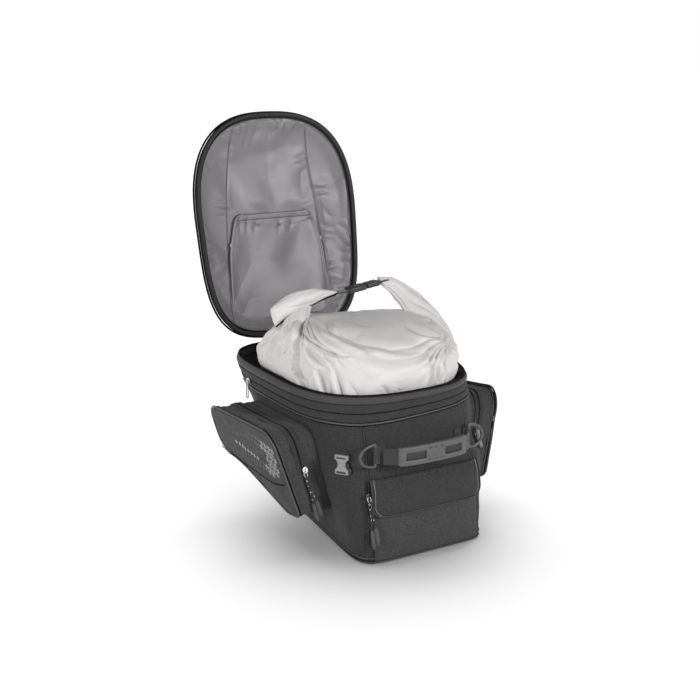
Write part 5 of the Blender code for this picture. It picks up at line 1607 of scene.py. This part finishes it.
# ---------------------------------------------------------------- floor, light and camera
def build_sky():
    """A studio surround: white low down and dimmer overhead."""
    world = bpy.data.worlds.new("studio")
    world.use_nodes = True
    tree = world.node_tree
    back = tree.nodes["Background"]
    back.inputs["Color"].default_value = (1, 1, 1, 1)
    split = tree.nodes.new("ShaderNodeSeparateXYZ")
    tree.links.new(tree.nodes.new("ShaderNodeTexCoord").outputs["Generated"], split.inputs[0])
    fade = tree.nodes.new("ShaderNodeMapRange")
    for socket, value in (("From Min", 0.06), ("From Max", 0.34), ("To Min", 1.0), ("To Max", 0.28)):
        fade.inputs[socket].default_value = value
    tree.links.new(split.outputs[2], fade.inputs["Value"])
    tree.links.new(fade.outputs[0], back.inputs["Strength"])
    bpy.context.scene.world = world


def build_stage():
    mesh = bpy.data.meshes.new("floor")
    mesh.from_pydata([(-30, -30, 0), (30, -30, 0), (30, 30, 0), (-30, 30, 0)], [], [(0, 1, 2, 3)])
    floor = bpy.data.objects.new("floor", mesh)
    floor.location.z = -0.0002
    white = Nodes("floor_paper", (0.84, 0.84, 0.84), 0.9)
    white.shader.inputs["Emission Color"].default_value = (1, 1, 1, 1)
    white.shader.inputs["Emission Strength"].default_value = 0.15
    mesh.materials.append(white.made)
    bpy.context.scene.collection.objects.link(floor)

    build_sky()
    pieces = bpy.data.collections.new("lit_pieces")
    ground = bpy.data.collections.new("lit_floor")
    for obj in bpy.context.scene.objects:
        if obj.type in ("MESH", "CURVE"):
            (ground if obj is floor else pieces).objects.link(obj)

    def lamp(name, kind, spot, aim, power, size, lit):
        light = bpy.data.lights.new(name, kind)
        light.energy = power
        if kind == "AREA":
            light.size = size
        else:
            light.angle = size
        obj = bpy.data.objects.new(name, light)
        obj.location = spot
        obj.rotation_euler = (Vector(aim) - Vector(spot)).to_track_quat("-Z", "Y").to_euler()
        bpy.context.scene.collection.objects.link(obj)
        obj.light_linking.receiver_collection = lit

    lamp("key", "AREA", (0.75, -2.5, 1.25), (0, 0, 0.28), 48, 0.7, pieces)
    lamp("fill", "AREA", (-2.4, -0.7, 1.0), (0, 0, 0.2), 30, 0.8, pieces)
    lamp("floor_light", "SUN", (0.15, 0.55, 1.0), (0, 0, 0), 2.95, math.radians(62), ground)

    data = bpy.data.cameras.new("camera")
    data.lens = 61.7
    data.sensor_width = 36
    camera = bpy.data.objects.new("camera", data)
    camera.location = (-1.0285, -1.6656, 0.7722)
    camera.rotation_euler = (math.radians(75.99), 0, math.radians(-31.65))
    bpy.context.scene.collection.objects.link(camera)
    bpy.context.scene.camera = camera
    bpy.context.scene.view_settings.view_transform = "Standard"


def main():
    build_base()
    build_body()
    build_collar()
    build_upper()
    build_inside()
    build_lid()
    for name, side in SIDES:
        build_side_pocket(name, side)
    build_sliders()
    build_rear_pocket()
    build_handle()
    build_corner_buckles()
    for piece in build_dry_bag():
        apply_modifiers(piece)
        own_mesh(piece)
    for piece, body in PLACED:
        if body not in FIRM_BODIES:
            settle(piece)
    finish_cad_nodes()
    build_stage()


def settle(piece):
    """Moves a piece's own points as the loaded bag settles."""
    count = len(piece.data.vertices)
    points = np.zeros(count * 3, np.float32)
    piece.data.vertices.foreach_get("co", points)
    piece.data.vertices.foreach_set("co", settled(points.reshape(-1, 3)).astype(np.float32).ravel())
    piece.data.update()


def apply_modifiers(obj):
    with bpy.context.temp_override(object=obj, active_object=obj):
        for modifier in list(obj.modifiers):
            bpy.ops.object.modifier_apply(modifier=modifier.name)


main()
